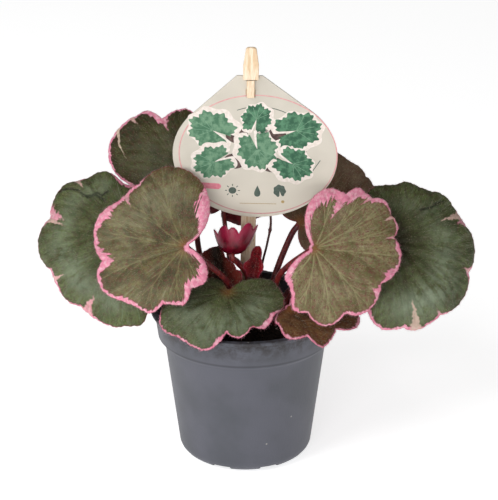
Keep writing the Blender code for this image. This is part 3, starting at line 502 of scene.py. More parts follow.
def leaf_ground(s, design, flat, ray, grain, fleck):
    """The mottled olive of a leaf's face, with silvery rays and veins, painted silvery highlights,
    and painted shade round the stalk and along the creases.
    """
    tones = design["tones"]
    broad, patch = s.noise(flat, 0.08, 3, 0.5), s.noise(flat, 0.33, 4, 0.6)
    base = s.cover(tones["deep"], tones["light"], broad, 0.35, 0.64)
    base = s.cover(base, tones["brown"], patch, 0.44, 0.66, 0.55)
    base = s.cover(base, tones["deep"], grain, 0.46, 0.62, 0.66)
    base = s.cover(base, tones["speck"], fleck, 0.5, 0.6, 0.82)
    base = s.cover(base, tones["light"], grain, 0.44, 0.34, 0.45)
    silver = s.times(s.rise(s.noise(ray, 0.75, 4, 0.6), 0.48, 0.7), s.rise(broad, 0.34, 0.62))
    base = s.mix(s.times(silver, design["silver"]), base, tones["silver"])
    # Painted highlight: broad patches of the silver tone where the domed blade catches the light.
    clouds = s.plus(s.noise(flat, 0.09, 4, 0.6), s.noise(flat, 0.24, 4, 0.7))
    soft = s.rise(s.plus(s.noise(ray, 0.34, 4, 0.6), clouds), 1.05, 1.65)
    base = s.mix(s.times(s.attribute("glow"), soft), base, tones["silver"])
    broken = s.times(s.attribute("vein"), s.rise(patch, 0.3, 0.5))
    base = s.mix(s.times(broken, design["veins"]), base, tones["vein"])
    base = s.mix(s.attribute("shade"), base, colour(38, 32, 18))
    base = s.mix(s.attribute("heart"), base, colour(140, 82, 36))
    if design["flank"]:
        base = s.mix(s.attribute("flank"), base, tones["flank"])
    # Painted shade along the creases, where the folded blade lies in shadow.
    return s.mix(s.attribute("dark"), base, colour(18, 20, 10))


def upper_finish(design):
    """The leaf's face with its ragged pink border, pale wedges and thin crimson rim."""
    s = Shader(f"{design['name']}_face", 0.58, 0.25)
    s.fill(s.surface, {"Sheen Weight": design["sheen"], "Sheen Roughness": 0.45})
    flat, ray = s.attribute("flat", "Vector"), s.attribute("ray", "Vector")
    edge, width = s.attribute("edge"), s.attribute("width")
    grain = s.noise(flat, 0.8, 3, 0.75)
    fleck = s.noise(s.stretch(flat, (1.0, 1.0, 3.0)), 0.62, 4, 0.8, 0.4)
    base = leaf_ground(s, design, flat, ray, grain, fleck)
    teeth = s.plus(s.times(s.noise(ray, 0.62, 3, 0.6), 1.9), 0.05)
    border = s.less(s.times(width, teeth), s.plus(edge, 0.3))
    loose = s.times(s.less(s.noise(flat, 0.9, 3, 0.7), 0.5), 1.4)
    border = s.plus(border, s.times(loose, s.rise(width, 0, 2)))
    fringe = s.times(s.less(s.noise(ray, 1.3, 3, 0.7), 0.5), 7)
    wedge = s.plus(s.attribute("wedge"), s.plus(loose, fringe))
    pink = s.cover(PINK, PALE_PINK, s.noise(flat, 0.5, 3, 0.6), 0.42, 0.66)
    pink = s.cover(pink, colour(206, 96, 128), s.noise(ray, 2.2, 3, 0.6), 0.5, 0.68, 0.5)
    pink = s.cover(pink, colour(196, 90, 116), fleck, 0.54, 0.66, 0.4)
    base = s.cover(base, design["tones"]["speck"], border, -1.3, 0.2, 0.5)
    base = s.cover(base, pink, border, -0.2, 0.4, 0.95)
    whole = s.rise(s.noise(flat, 0.8, 3, 0.7), 0.15, 0.5, 0.9)
    pale_pink = s.mix(s.attribute("cream"), pink, CREAM)
    base = s.mix(s.times(s.rise(wedge, -1.4, 2.4), whole), base, pale_pink)
    thin = s.plus(edge, s.times(s.noise(ray, 0.9, 3, 0.6), 1.5))
    base = s.cover(base, CRIMSON, thin, 1.2, 0.6, 0.75)
    return s.finish(base, s.bump(grain, 0.14, s.bump(s.cells(flat, 0.5, "SMOOTH_F1"), 0.2)))


def under_finish(design):
    """The leaf's underside: crimson, paler between the veins."""
    s = Shader(f"{design['name']}_under", 0.5)
    flat = s.attribute("flat", "Vector")
    dark, pale = design["under"]
    base = s.cover(dark, pale, s.noise(flat, 0.22, 4, 0.6), 0.38, 0.64)
    base = s.cover(base, dark, s.noise(flat, 1.3, 3, 0.7), 0.5, 0.7, 0.4)
    base = s.mix(s.times(s.attribute("vein"), 0.35), base, pale)
    if design["blush"]:
        edge = s.attribute("edge")
        base = s.cover(base, dark, edge, 3, 8.5, 0.85)
        base = s.cover(base, colour(188, 42, 84), edge, 3.4, 0.2, design["blush"])
        s.fill(s.surface, {"Roughness": 0.26})
    return s.finish(base, s.bump(s.noise(flat, 1.1, 3, 0.6), 0.2))


def stalk_finish(name, dark, light):
    s = Shader(name, 0.42, 0.5)
    place = s.place()
    long_grain = s.stretch(place, (1.0, 1.0, 0.12))
    base = s.cover(dark, light, s.noise(long_grain, 0.6, 3, 0.6), 0.4, 0.62)
    base = s.cover(base, colour(56, 8, 16), s.noise(place, 1.2, 3, 0.7), 0.5, 0.68, 0.6)
    return s.finish(base, s.bump(s.noise(long_grain, 2.0, 2, 0.5), 0.15))


def hair_finish(name, first, second):
    s = Shader(name, 0.4, 0.3)
    s.fill(s.surface, {"Transmission Weight": 0.25})
    return s.finish(s.mix(s.noise(s.place(), 0.05, 1), first, second))


def unit(vectors):
    """One vector, or each row of several, at length 1."""
    vectors = np.asarray(vectors, float)
    return vectors / np.linalg.norm(vectors, axis=-1, keepdims=True)


def lengths_along(points):
    """The distance from the first point to each point along a line."""
    return np.concatenate([[0], np.cumsum(np.linalg.norm(np.diff(points, axis=0), axis=1))])


def even_points(points, count):
    """This many points evenly spaced by length along a line."""
    along = lengths_along(points)
    wanted = np.linspace(0, along[-1], count)
    return np.stack([np.interp(wanted, along, column) for column in points.T], 1)


def smooth_route(route, count):
    """count + 1 points evenly spaced by length on a Catmull-Rom curve through the route."""
    points = np.array([2 * np.array(route[0]) - route[1], *route,
                       2 * np.array(route[-1]) - route[-2]], float)
    fine = []
    for a, b, c, d in zip(points, points[1:], points[2:], points[3:]):
        for t in np.linspace(0, 1, 12, endpoint=False):
            fine.append(0.5 * (2 * b + (c - a) * t + (2 * a - 5 * b + 4 * c - d) * t**2
                               + (3 * b - a - 3 * c + d) * t**3))
    return even_points(np.array([*fine, points[-2]]), count + 1)


def stitch(inner, outer):
    """Triangles between two rings of point indices, the outer with as many or twice as many."""
    inner_next, outer_next = np.roll(inner, -1), np.roll(outer, -1)
    if len(inner) == len(outer):
        return np.concatenate([np.stack([inner, outer, outer_next], 1),
                               np.stack([inner, outer_next, inner_next], 1)])
    even, odd, after = outer[::2], outer[1::2], np.roll(outer[::2], -1)
    return np.concatenate([np.stack([inner, even, odd], 1), np.stack([inner, odd, inner_next], 1),
                           np.stack([inner_next, odd, after], 1)])


def fan(centre, ring):
    """Triangles from one point's index to a ring of them."""
    return np.stack([np.full(len(ring), centre), ring, np.roll(ring, -1)], 1)


def tube(path, radii, start_x):
    """A closed tube's points and triangles. The ring's frame is carried along without twist."""
    x_axis = np.asarray(start_x, float)
    angles = np.linspace(0, 2 * math.pi, STALK_SIDES, endpoint=False)
    points = []
    for centre, tangent, radius in zip(path, unit(np.gradient(path, axis=0)), radii):
        x_axis = unit(x_axis - tangent * (x_axis @ tangent))
        y_axis = np.cross(tangent, x_axis)
        points.append(centre + radius * (np.outer(np.cos(angles), x_axis)
                                         + np.outer(np.sin(angles), y_axis)))
    rings = [np.arange(STALK_SIDES) + k * STALK_SIDES for k in range(len(path))]
    faces = [stitch(lower, upper)[:, ::-1] for lower, upper in zip(rings, rings[1:])]
    points = np.concatenate([*points, path[:1], path[-1:]])
    faces += [fan(len(points) - 2, rings[0])[:, ::-1], fan(len(points) - 1, rings[-1])]
    return points, np.concatenate(faces)


def hair_cones(roots, directions, length_range, radius):
    """Closed slim cones, each sunk a little into its surface."""
    lengths = random.uniform(*length_range, len(roots))
    directions = unit(directions)
    side = unit(np.cross(directions, random.normal(size=directions.shape)))
    other = np.cross(directions, side)
    sunk = roots - directions * HAIR_SINK
    points = np.zeros((len(roots), 4, 3))
    for k in range(3):
        turn = 2 * math.pi * k / 3
        points[:, k] = sunk + radius * (math.cos(turn) * side + math.sin(turn) * other)
    points[:, 3] = roots + directions * lengths[:, None]
    pattern = np.array([(0, 1, 3), (1, 2, 3), (2, 0, 3), (0, 2, 1)])
    faces = (4 * np.arange(len(roots)))[:, None, None] + pattern
    return points.reshape(-1, 3), faces.reshape(-1, 3)


def face_normals(points, faces):
    """The normal of each triangle, with twice its area as its length."""
    first, second, third = points[faces].transpose(1, 0, 2)
    return np.cross(second - first, third - first)


def scatter(points, faces, count):
    """Random places on triangles, even by area, with the normal at each."""
    normals = face_normals(points, faces)
    areas = np.linalg.norm(normals, axis=1)
    chosen = random.choice(len(faces), count, p=areas / areas.sum())
    first, second = random.random(count), random.random(count)
    fold = first + second > 1
    first[fold], second[fold] = 1 - first[fold], 1 - second[fold]
    corner = points[faces][chosen]
    places = (corner[:, 0] + first[:, None] * (corner[:, 1] - corner[:, 0])
              + second[:, None] * (corner[:, 2] - corner[:, 0]))
    return places, normals[chosen] / areas[chosen][:, None]


def linked(name, data):
    """A new object in the scene with this data."""
    made = bpy.data.objects.new(name, data)
    bpy.context.collection.objects.link(made)
    return made


def declare(made, node, slot):
    """Hangs a piece under the root body and hides the CAD node that it stands for. slot is not
    used.
    """
    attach(made, "root")
    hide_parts(node)


def mesh_of(name, parts):
    """One mesh from parts that start with their points, in millimetres, and their faces."""
    points, faces, start = [], [], 0
    for part_points, part_faces, *_ in parts:
        points.append(np.asarray(part_points, float) * MM)
        faces += [[int(i) + start for i in face] for face in part_faces]
        start += len(part_points)
    mesh = bpy.data.meshes.new(name)
    mesh.from_pydata(np.concatenate(points).tolist(), [], faces)
    return mesh


def make_piece(name, parts, finishes, node, slot, attributes=None, sharp=None):
    """One shown object from (points, faces, material index) parts that stands for a CAD node. The
    attributes belong to the first points, and those that follow have 0."""
    mesh = mesh_of(name, parts)
    for finish in finishes:
        mesh.materials.append(finish)
    marks = np.concatenate([np.broadcast_to(mark, len(part)) for _, part, mark in parts])
    mesh.polygons.foreach_set("material_index", marks)
    for key, values in (attributes or {}).items():
        kind, field = ("FLOAT", "value") if values.ndim == 1 else ("FLOAT_VECTOR", "vector")
        whole = np.zeros((len(mesh.vertices), *values.shape[1:]))
        whole[: len(values)] = values
        mesh.attributes.new(key, kind, "POINT").data.foreach_set(field, whole.ravel())
    mesh.shade_smooth()
    if sharp:
        mesh.set_sharp_from_angle(angle=math.radians(sharp))
    declare(linked(name, mesh), node, slot)


def edge_reach(design, angles):
    """How far the edge lies from the stalk at these angles, and 0 at a tip to 1 at a notch."""
    first, last = design["sinus"]
    knots = [(first, SINUS_REACH), *design["edge"], (last, SINUS_REACH)]
    turns, reaches = np.array(knots, float).T
    wrapped = np.where(angles > last + 1e-6, last, angles)
    span = np.clip(np.searchsorted(turns, wrapped, side="right") - 1, 0, len(knots) - 2)
    tip = np.where(span % 2 == 0, span + 1, span)
    notch = np.where(span % 2 == 0, span, span + 1)
    away = np.abs(wrapped - turns[tip]) / np.abs(turns[notch] - turns[tip])
    sinus_side = (span == 0) | (span == len(knots) - 2)
    power = np.where(sinus_side, SINUS_ROUNDNESS, LOBE_ROUNDNESS)
    reach = reaches[notch] + (reaches[tip] - reaches[notch]) * (1 - away**power)
    return reach, away


def largest_reach(design):
    return max(reach for _, reach in design["edge"])


def free_share(reach):
    return np.clip((reach - SINUS_REACH) / (FULL_FORM_REACH - SINUS_REACH), 0, 1)


def fine_reach(design, angles):
    """The edge with the small unevenness of a grown leaf."""
    reach, away = edge_reach(design, angles)
    shift = len(design["edge"]) + design["at"][0]
    uneven = (np.sin(1.9 * angles + shift) + np.sin(1.13 * angles + 2 * shift)
              + np.sin(0.71 * angles + 3 * shift)) / 3
    size = UNEVEN_EDGE * min(1.0, largest_reach(design) / 30)
    return reach + size * (uneven - 0.4) * free_share(reach), away


def on_blade(radius, angle):
    """(x, y) on the blade at these distances and angles from the stalk."""
    turn = np.radians(angle)
    return np.stack([radius * np.cos(turn), radius * np.sin(turn)], 1)


def blade_height(design, x, y, share, away, edge):
    """Height of the blade over its flat plane. share is 0 at the stalk and 1 at the edge, and edge
    is how far the edge lies from the stalk."""
    reach = np.hypot(x, y)
    free = free_share(edge)
    rolled = np.clip((share - ROLL_START) / (1 - ROLL_START), 0, 1)
    drooping = np.clip(x - design["droop_from"], 0, None) / FORM_REACH
    height = design["funnel"] * (1 - np.exp(-reach / FUNNEL_REACH))
    height -= design["dome"] * (reach / FORM_REACH) ** 2
    height -= design["roll"] * free * rolled**2
    height -= design["wave"] * free * share**3 * np.cos(math.pi * away)
    height -= (design["crease"] * np.exp(-((y / CREASE_WIDTH) ** 2))
               * np.clip(x / CREASE_START, 0, 1))
    height -= design["droop"] * drooping**2
    height += design["fold"] * np.abs(y) / FOLD_REACH
    height += design["cup"] * (reach / CUP_REACH) ** 3
    return height


def surface_normals(points, faces):
    """The normal at each point of a surface."""
    flat = face_normals(points, faces)
    normals = np.zeros_like(points)
    for corner in range(3):
        np.add.at(normals, faces[:, corner], flat)
    return unit(normals)


def vein_points(design):
    """(x, y, half width) of points along the veins: one to each lobe, each with side veins, which
    start at a share of its reach and run on for a share."""
    turns = [angle for angle, _ in design["edge"][::2]]
    gaps = np.diff([turns[0] - 30, *turns, turns[-1] + 30])
    wobble = np.random.default_rng(len(turns) + int(abs(design["at"][0])))
    found = []
    for number, turn in enumerate(turns):
        shares = np.linspace(0.03, 0.95, 110)
        bend = wobble.normal(0, 2.0)
        main = turn * (0.8 + 0.2 * shares**0.7) + bend * np.sin(math.pi * shares)
        lines = [(main, shares, 0.42 - 0.22 * shares)]
        for side, gap in ((-1, gaps[number]), (1, gaps[number + 1])):
            for start, length in SIDE_VEINS:
                start += wobble.uniform(-0.05, 0.05)
                step = np.linspace(0, 1, 50)
                share = start + length * step
                spread = side * SIDE_VEIN_SPREAD * gap * length * step
                lines.append((np.interp(share, shares, main) + spread, share, 0.26 - 0.12 * step))
        for turned, share, half in lines:
            reach, _ = edge_reach(design, turned)
            radius = STALK_RING + (reach - STALK_RING) * np.clip(share, 0, 0.96)
            found.append(np.column_stack([on_blade(radius, turned), half]))
    return np.concatenate(found)


def nearest(tree_points, points):
    """Distance to, and index of, the nearest of tree_points for each point."""
    tree = KDTree(len(tree_points))
    for index, (x, y) in enumerate(tree_points.tolist()):
        tree.insert((x, y, 0), index)
    tree.balance()
    found = [tree.find((x, y, 0))[1:] for x, y in points.tolist()]
    return np.array([distance for _, distance in found]), np.array([index for index, _ in found])


def crease_points(design, step=0.25):
    """Points at even steps along the lines of the creases."""
    found = []
    for line in design["creases"]:
        line = np.array(line, float)
        found.append(even_points(line, max(2, int(lengths_along(line)[-1] / step))))
    return np.concatenate(found)


def border_width(design, grid):
    """Width of the pale border, how far inside a wedge each point lies and that wedge's share
    of cream. A wedge's last two values are its cream share and its bend in degrees a mm."""
    knots = np.array(sorted(design["margin"]), float)
    width = np.interp(grid.edge_angle, *knots.T)
    inside, cream = np.full(len(grid.angle), -9.0), np.zeros(len(grid.angle))
    depth = grid.reach - grid.radius
    for turn, length, half, pale, bend in design["wedges"]:
        wander = 0.11 * half * (np.sin(1.1 * depth + turn) + np.sin(2.7 * depth + 2 * turn))
        away = np.abs(grid.angle - turn - bend * depth - wander) / half
        here = length * np.where(away < 1, np.abs(1 - away) ** 1.2, 1 - away) - depth
        cream = np.where(here > inside, pale, cream)
        inside = np.maximum(inside, here)
    return width, np.clip(inside, -9, 9), cream


def glow_at(design, grid):
    """How much painted silvery highlight the blade has at each point, from 0 to 1."""
    glow = np.zeros(len(grid.angle))
    for turn, middle, half_angle, half_share, strength in design["glow"]:
        aside = ((grid.angle - turn + 180) % 360 - 180) / half_angle
        along = (grid.share - middle) / half_share
        glow += strength * np.exp(-(aside**2) - along**2)
    return np.clip(glow, 0, 1)


def edge_columns(design):
    """Points close together on the edge, the angle of each, and the grid's column angles, which
    are spaced evenly by length along the edge."""
    first, last = design["sinus"]
    fine = np.concatenate([np.linspace(first, last, 9000), np.linspace(last, first + 360, 90)[1:]])
    outline = on_blade(fine_reach(design, fine)[0], fine)
    along = lengths_along(outline)
    columns = 4 * round(along[-1] / design["grain"] / 4)
    angles = np.interp(np.linspace(0, along[-1], columns, endpoint=False), along, fine)
    step = max(1, int(EDGE_SPACING * len(outline) / along[-1]))
    return outline[::step], fine[::step], angles


def leaf_grid(design):
    """The blade before its relief: rings of points round the stalk, more of them toward the edge,
    with each point's angle and share of the reach, the edge nearest to it and its normal."""
    edge_line, edge_angles, angles = edge_columns(design)
    reach, away = fine_reach(design, angles)
    count = 4 * round(largest_reach(design) / design["grain"] / 4)
    shares = np.linspace(0, 1, count + 1)
    strides = [1 if share > 0.5 else 2 if share > 0.25 else 4 for share in shares]
    columns = [np.arange(0, len(angles), stride) for stride in strides]
    column = np.concatenate([[0], *columns])
    share = np.concatenate([[0], np.repeat(shares, [len(ring) for ring in columns])])
    ends = np.cumsum([1] + [len(ring) for ring in columns])
    rings = [np.arange(a, b) for a, b in zip(ends, ends[1:])]
    radius = STALK_RING + (reach[column] - STALK_RING) * share
    radius[0] = 0
    flat = on_blade(radius, angles[column])
    x, y = flat.T
    base = np.column_stack([flat, blade_height(design, x, y, share, away[column],
                                               reach[column])])
    faces = np.concatenate([fan(0, rings[0]), *(stitch(a, b) for a, b in zip(rings, rings[1:]))])
    edge, edge_index = nearest(edge_line, flat)
    return SimpleNamespace(
        rings=rings, strides=strides, share=share, angle=angles[column], reach=reach[column],
        flat=flat, radius=np.hypot(x, y), base=base, faces=faces,
        upward=surface_normals(base, faces), outward=unit(base[rings[-1]] - base[rings[-3]]),
        edge=edge, edge_angle=edge_angles[edge_index])


def leaf_relief(design, grid):
    """The blade's face with sunk veins, bulges between them, puckers and creases, and how much
    each point lies on a vein and on a crease."""
    veins = vein_points(design)
    distance, index = nearest(veins[:, :2], grid.flat)
    vein = np.exp(-((distance / veins[index, 2]) ** 2))
    crease = np.zeros(len(grid.flat))
    if design["creases"]:
        crease = np.exp(-((nearest(crease_points(design), grid.flat)[0] / CREASE_LINE_WIDTH) ** 2))
    inside = np.clip(grid.edge / 3, 0, 1) * np.clip(grid.radius / 6, 0, 1)
    x, y = grid.flat.T
    pucker = (np.sin(0.83 * x + 0.5) * np.cos(0.71 * y - 0.4)
              + 0.7 * np.sin(0.52 * x - 0.94 * y + 1.7))
    relief = design["bulge"] * (1 - np.exp(-((distance / BULGE_REACH) ** 2))) * inside
    relief += (PUCKER_HEIGHT * pucker * inside - VEIN_DEPTH * vein * inside
               - CREASE_DEPTH * crease * np.clip(grid.edge, 0, 1))
    return grid.base + grid.upward * np.maximum(relief, DEEPEST_RELIEF)[:, None], vein, crease


def leaf_underside(design, grid):
    """The rounded edge and the underside, as rings of points: the points, the index of the face's
    point that each lies under, the edge's triangles and the underside's triangles."""
    first_tip, last_tip = design["edge"][0][0], design["edge"][-1][0]
    beside_sinus = (grid.angle < first_tip) | (grid.angle > last_tip)
    near_sinus = beside_sinus * (SINUS_PLUMB - (grid.reach - SINUS_REACH) / PLUMB_REACH)
    plumb = np.clip(np.maximum(1 - grid.radius / PLUMB_REACH, near_sinus), 0, 1)[:, None]
    downward = -grid.upward * (1 - plumb) + np.array([0, 0, -1]) * plumb
    thickness = BLADE_THICKNESS + (EDGE_THICKNESS - BLADE_THICKNESS) * grid.share**6
    under = grid.base + downward * thickness[:, None]
    outer = grid.rings[-1]
    middle = grid.base[outer] + downward[outer] * EDGE_THICKNESS / 2 + grid.outward * EDGE_BULGE
    levels = [outer]
    for k in range(len(grid.rings) - 3, -1, -3):
        levels.append(grid.rings[k][:: 2 if grid.strides[k] == 1 else 1])
    points = [middle, *(under[level] for level in levels), under[:1]]
    source = np.concatenate([outer, *levels, [0]])
    starts = len(under) + np.cumsum([0] + [len(ring) for ring in points])
    middle_ring, *rings, centre = [np.arange(a, b) for a, b in zip(starts, starts[1:])]
    rim = [stitch(outer, middle_ring), stitch(rings[0], middle_ring)[:, ::-1]]
    below = [stitch(inner, outer)[:, ::-1] for outer, inner in zip(rings, rings[1:])]
    below.append(fan(centre[0], rings[-1])[:, ::-1])
    return np.concatenate(points), source, np.concatenate(rim), np.concatenate(below)


def leaf_attributes(design, grid, vein, crease, source):
    """What the finishes read at each point of the face and then of the underside."""
    def near_stalk(strength, reach):
        return strength * np.exp(-((grid.radius / reach) ** 2))

    shift = 0.37 * design["at"][0]
    width, wedge, cream = border_width(design, grid)
    around = 40 * grid.flat / np.maximum(grid.radius, 0.5)[:, None]
    values = {
        "flat": np.column_stack([grid.flat, np.zeros(len(grid.flat))]) + (shift, 0, shift),
        "ray": np.column_stack([around, 0.1 * grid.radius + shift]),
        "width": width,
        "wedge": wedge,
        "edge": grid.edge,
        "vein": vein,
        "cream": cream,
        # painted shade along the creases
        "dark": crease * design["crease_dark"],
        "shade": near_stalk(design["shade"], 24),
        "heart": near_stalk(design["heart"], 3.6),
        "glow": glow_at(design, grid),
        "flank": design["flank"] * np.clip((np.abs(grid.flat[:, 1]) - 2) / 4, 0, 1),
    }
    values = {name: np.concatenate([value, value[source]]) for name, value in values.items()}
    values["flat"][len(grid.flat):, 2] += 3.0
    return values


def leaf_axes(design):
    """The blade's directions as rows: along the midrib, across it and out of its face."""
    face = unit(design["face"])
    along = np.array(design["midrib"], float)
    along = unit(along - face * (along @ face))
    return np.stack([along, np.cross(face, along), face])


def leaf_stalk(design, at, face):
    """The stalk's path from inside the blade to the foot of its hole, and its radii."""
    lead = at - face * ROUTE_START
    lead = lead + ROUTE_STEP * unit(np.array(design["stalk"][0]) - lead)
    soil_end = (*design["base"], SOIL_TOP - STALK_DEPTH)
    soil_entry = (*design["base"], SOIL_TOP + STALK_LEAD)
    path = smooth_route([lead, *design["stalk"], soil_entry, soil_end], STALK_PIECES)
    path = path[path[:, 2] > SOIL_TOP + STALK_LEAD + STALK_RADIUS]
    path = np.array([at - face * STALK_START, at - face * STALK_EXIT, *path, soil_entry, soil_end])
    return path, design["stalk_radius"] * np.linspace(0.92, 1, len(path))


def hairs_on_face(design, grid, top, at, axes):
    """Short hairs that stand on the blade and lean away from the stalk."""
    places, normals = scatter(top, grid.faces, design["hairs"])
    outward = places * (1, 1, 0)
    outward /= np.maximum(np.linalg.norm(outward, axis=1), 1)[:, None]
    lean = normals + 0.7 * outward + HAIR_SPREAD * random.normal(size=places.shape)
    return hair_cones(at + places @ axes, lean @ axes, BLADE_HAIR_LENGTHS, FACE_HAIR_RADIUS)


def hairs_on_edge(design, grid, at, axes):
    """A fringe of hairs along the edge, none of them near the stalk."""
    stride = max(1, round(EDGE_HAIR_SPACING / design["grain"]))
    roots = grid.base[grid.rings[-1][::stride]]
    lean = grid.outward[::stride]
    lean = lean + HAIR_SPREAD * random.normal(size=lean.shape)
    keep = np.hypot(roots[:, 0], roots[:, 1]) > 4
    return hair_cones(at + roots[keep] @ axes, lean[keep] @ axes, BLADE_HAIR_LENGTHS, HAIR_RADIUS)


def hairs_on_stalk(path, radii, per_mm=1.6):
    """Hairs that stand out all round a stalk."""
    count = max(8, int(per_mm * lengths_along(path)[-1]))
    spot = random.uniform(0, len(path) - 1.001, count)
    low = spot.astype(int)
    step = path[low + 1] - path[low]
    centre = path[low] + (spot - low)[:, None] * step
    tangent = unit(step)
    lean = unit(np.cross(tangent, random.normal(size=tangent.shape)))
    roots = centre + lean * radii[low][:, None]
    lean = lean + 0.2 * random.normal(size=lean.shape)
    return hair_cones(roots, lean, STALK_HAIR_LENGTHS, HAIR_RADIUS)


def dress_leaf(design):
    """One leaf: blade with relief, a rounded margin, underside, stalk and hairs."""
    grid = leaf_grid(design)
    top, vein, crease = leaf_relief(design, grid)
    under, source, rim, below = leaf_underside(design, grid)
    at, axes = np.array(design["at"], float), leaf_axes(design)
    path, radii = leaf_stalk(design, at, axes[2])

    finishes = [upper_finish(design), under_finish(design), HAIR, STALK, FRINGE]
    face_mark, under_mark, hair_mark, stalk_mark, fringe_mark = range(len(finishes))
    marks = np.repeat([face_mark, under_mark], [len(grid.faces) + len(rim), len(below)])
    parts = [(at + np.concatenate([top, under]) @ axes, np.concatenate([grid.faces, rim, below]),
              marks),
             (*tube(path, radii, axes[0]), stalk_mark),
             (*hairs_on_face(design, grid, top, at, axes), hair_mark),
             (*hairs_on_edge(design, grid, at, axes), fringe_mark),
             (*hairs_on_stalk(path[2:-1], radii[2:-1]), hair_mark)]
    make_piece(f"{design['name']}_piece", parts, finishes, design["name"], design["slot"],
               leaf_attributes(design, grid, vein, crease, source))


def solid(name, parts, placement=Matrix()):
    """A scratch solid in millimetres, its faces turned outward."""
    mesh = mesh_of(name, parts)
    work = bmesh.new()
    work.from_mesh(mesh)
    bmesh.ops.recalc_face_normals(work, faces=work.faces)
    if work.calc_volume(signed=True) < 0:
        bmesh.ops.reverse_faces(work, faces=work.faces)
    work.to_mesh(mesh)
    work.free()
    made = linked(name, mesh)
    made.matrix_world = placement
    return made


def apply_modifier(target, step):
    bpy.context.view_layer.update()
    graph = bpy.context.evaluated_depsgraph_get()
    result = bpy.data.meshes.new_from_object(target.evaluated_get(graph))
    target.modifiers.remove(step)
    target.data = result


def apply_boolean(target, cutter, operation):
    """Applies one Boolean to target and removes the cutter."""
    step = target.modifiers.new(operation, "BOOLEAN")
    step.operation = operation
    step.object = cutter
    step.solver = "EXACT"
    apply_modifier(target, step)
    bpy.data.objects.remove(cutter)


def extrusion(outline, near, far, standing=False):
    """Points and faces between two heights with an (x, y) outline or, where it is standing,
    between two depths with an (x, height) outline."""
    count = len(outline)
    points = [(x, level, y) if standing else (x, y, level)
              for level in (near, far) for x, y in outline]
    faces = [tuple(range(count))[::-1], tuple(range(count, 2 * count))]
    faces += [(i, (i + 1) % count, count + (i + 1) % count, count + i) for i in range(count)]
    return points, [face[::-1] for face in faces] if standing else faces


def prism(name, outline, near, far, placement, standing=False):
    return solid(name, [extrusion(outline, near, far, standing)], placement)


def placed(outline, centre, turn):
    """An outline about (0, 0), turned and then moved to its centre."""
    turn = math.radians(turn)
    return [(centre[0] + x * math.cos(turn) - y * math.sin(turn),
             centre[1] + x * math.sin(turn) + y * math.cos(turn)) for x, y in outline]


def round_outline(radius, sides, x=0.0):
    angles = [2 * math.pi * i / sides for i in range(sides)]
    return [(x + radius * math.cos(a), radius * math.sin(a)) for a in angles]


def box_outline(width, front, back):
    return [(-width / 2, front), (width / 2, front), (width / 2, back), (-width / 2, back)]


def finish_solid(made, node, slot, finish, sharp, bevel=None):
    """Turns a scratch solid into the shown piece that stands for a CAD node."""
    made.data.materials.clear()
    made.data.materials.append(finish)
    made.data.shade_smooth()
    if bevel:
        step = made.modifiers.new("bevel", "BEVEL")
        step.width = bevel * MM
        step.segments = 1
        step.limit_method = "ANGLE"
        step.angle_limit = math.radians(sharp)
        apply_modifier(made, step)
    made.data.set_sharp_from_angle(angle=math.radians(sharp))
    declare(made, node, slot)


def pot_profile(inset, top):
    """The pot's side from its foot up, moved in by inset, as (radius, height) points."""
    taper = (SHOULDER_RADIUS - FOOT_RADIUS) / SHOULDER_FOOT
    centre = FOOT_RADIUS + taper * FOOT_CORNER - FOOT_CORNER
    corner = FOOT_CORNER - inset
    points = [(0, inset)]
    for angle in np.radians(np.linspace(-90, 0, 7)):
        points.append((centre + corner * math.cos(angle), inset + corner * (1 + math.sin(angle))))
    band_top = min(top, POT_HEIGHT - LIP_HEIGHT)
    band_slope = (BAND_TOP_RADIUS - BAND_FOOT_RADIUS) / (POT_HEIGHT - LIP_HEIGHT - BAND_FOOT)
    band_radius = BAND_FOOT_RADIUS + band_slope * (band_top - BAND_FOOT)
    return points + [(SHOULDER_RADIUS - inset, SHOULDER_FOOT),
                     (SHOULDER_RADIUS + SHOULDER_BULGE - inset,
                      SHOULDER_FOOT + 0.45 * SHOULDER_HEIGHT),
                     (BAND_FOOT_RADIUS - inset, BAND_FOOT), (band_radius - inset, band_top)]


def turned(name, profile):
    """A closed solid turned from (radius, height) points that start and end on the axis."""
    points = [(0, 0, profile[0][1]), (0, 0, profile[-1][1])]
    rings = []
    for radius, height in profile[1:-1]:
        rings.append(np.arange(len(points), len(points) + POT_SIDES))
        points += [(x, y, height) for x, y in round_outline(radius, POT_SIDES)]
    faces = [*fan(0, rings[0]), *fan(1, rings[-1])[:, ::-1]]
    for lower, upper in zip(rings, rings[1:]):
        faces += [*np.stack([upper, np.roll(upper, -1), np.roll(lower, -1), lower], 1)]
    return solid(name, [(points, faces)])


def ring_of_prisms(name, outline, low, high):
    """One scratch solid of loose prisms, one at each notch of the pot's foot. The outline is of a
    prism on the x axis."""
    turns = [360 * (k + 0.5) / NOTCH_COUNT for k in range(NOTCH_COUNT)]
    return solid(name, [extrusion(placed(outline, (0, 0), turn), low, high) for turn in turns])


def notches(name, widen, high):
    """The eight radial notches in the pot's foot, widened and raised for the inner side."""
    half, inner = NOTCH_WIDTH / 2 + widen, NOTCH_INNER_RADIUS - widen
    outline = [(inner, -half), (NOTCH_OUTER_RADIUS, -half), (NOTCH_OUTER_RADIUS, half),
               (inner, half)]
    return ring_of_prisms(name, outline, -CUT_OVERLAP, high)


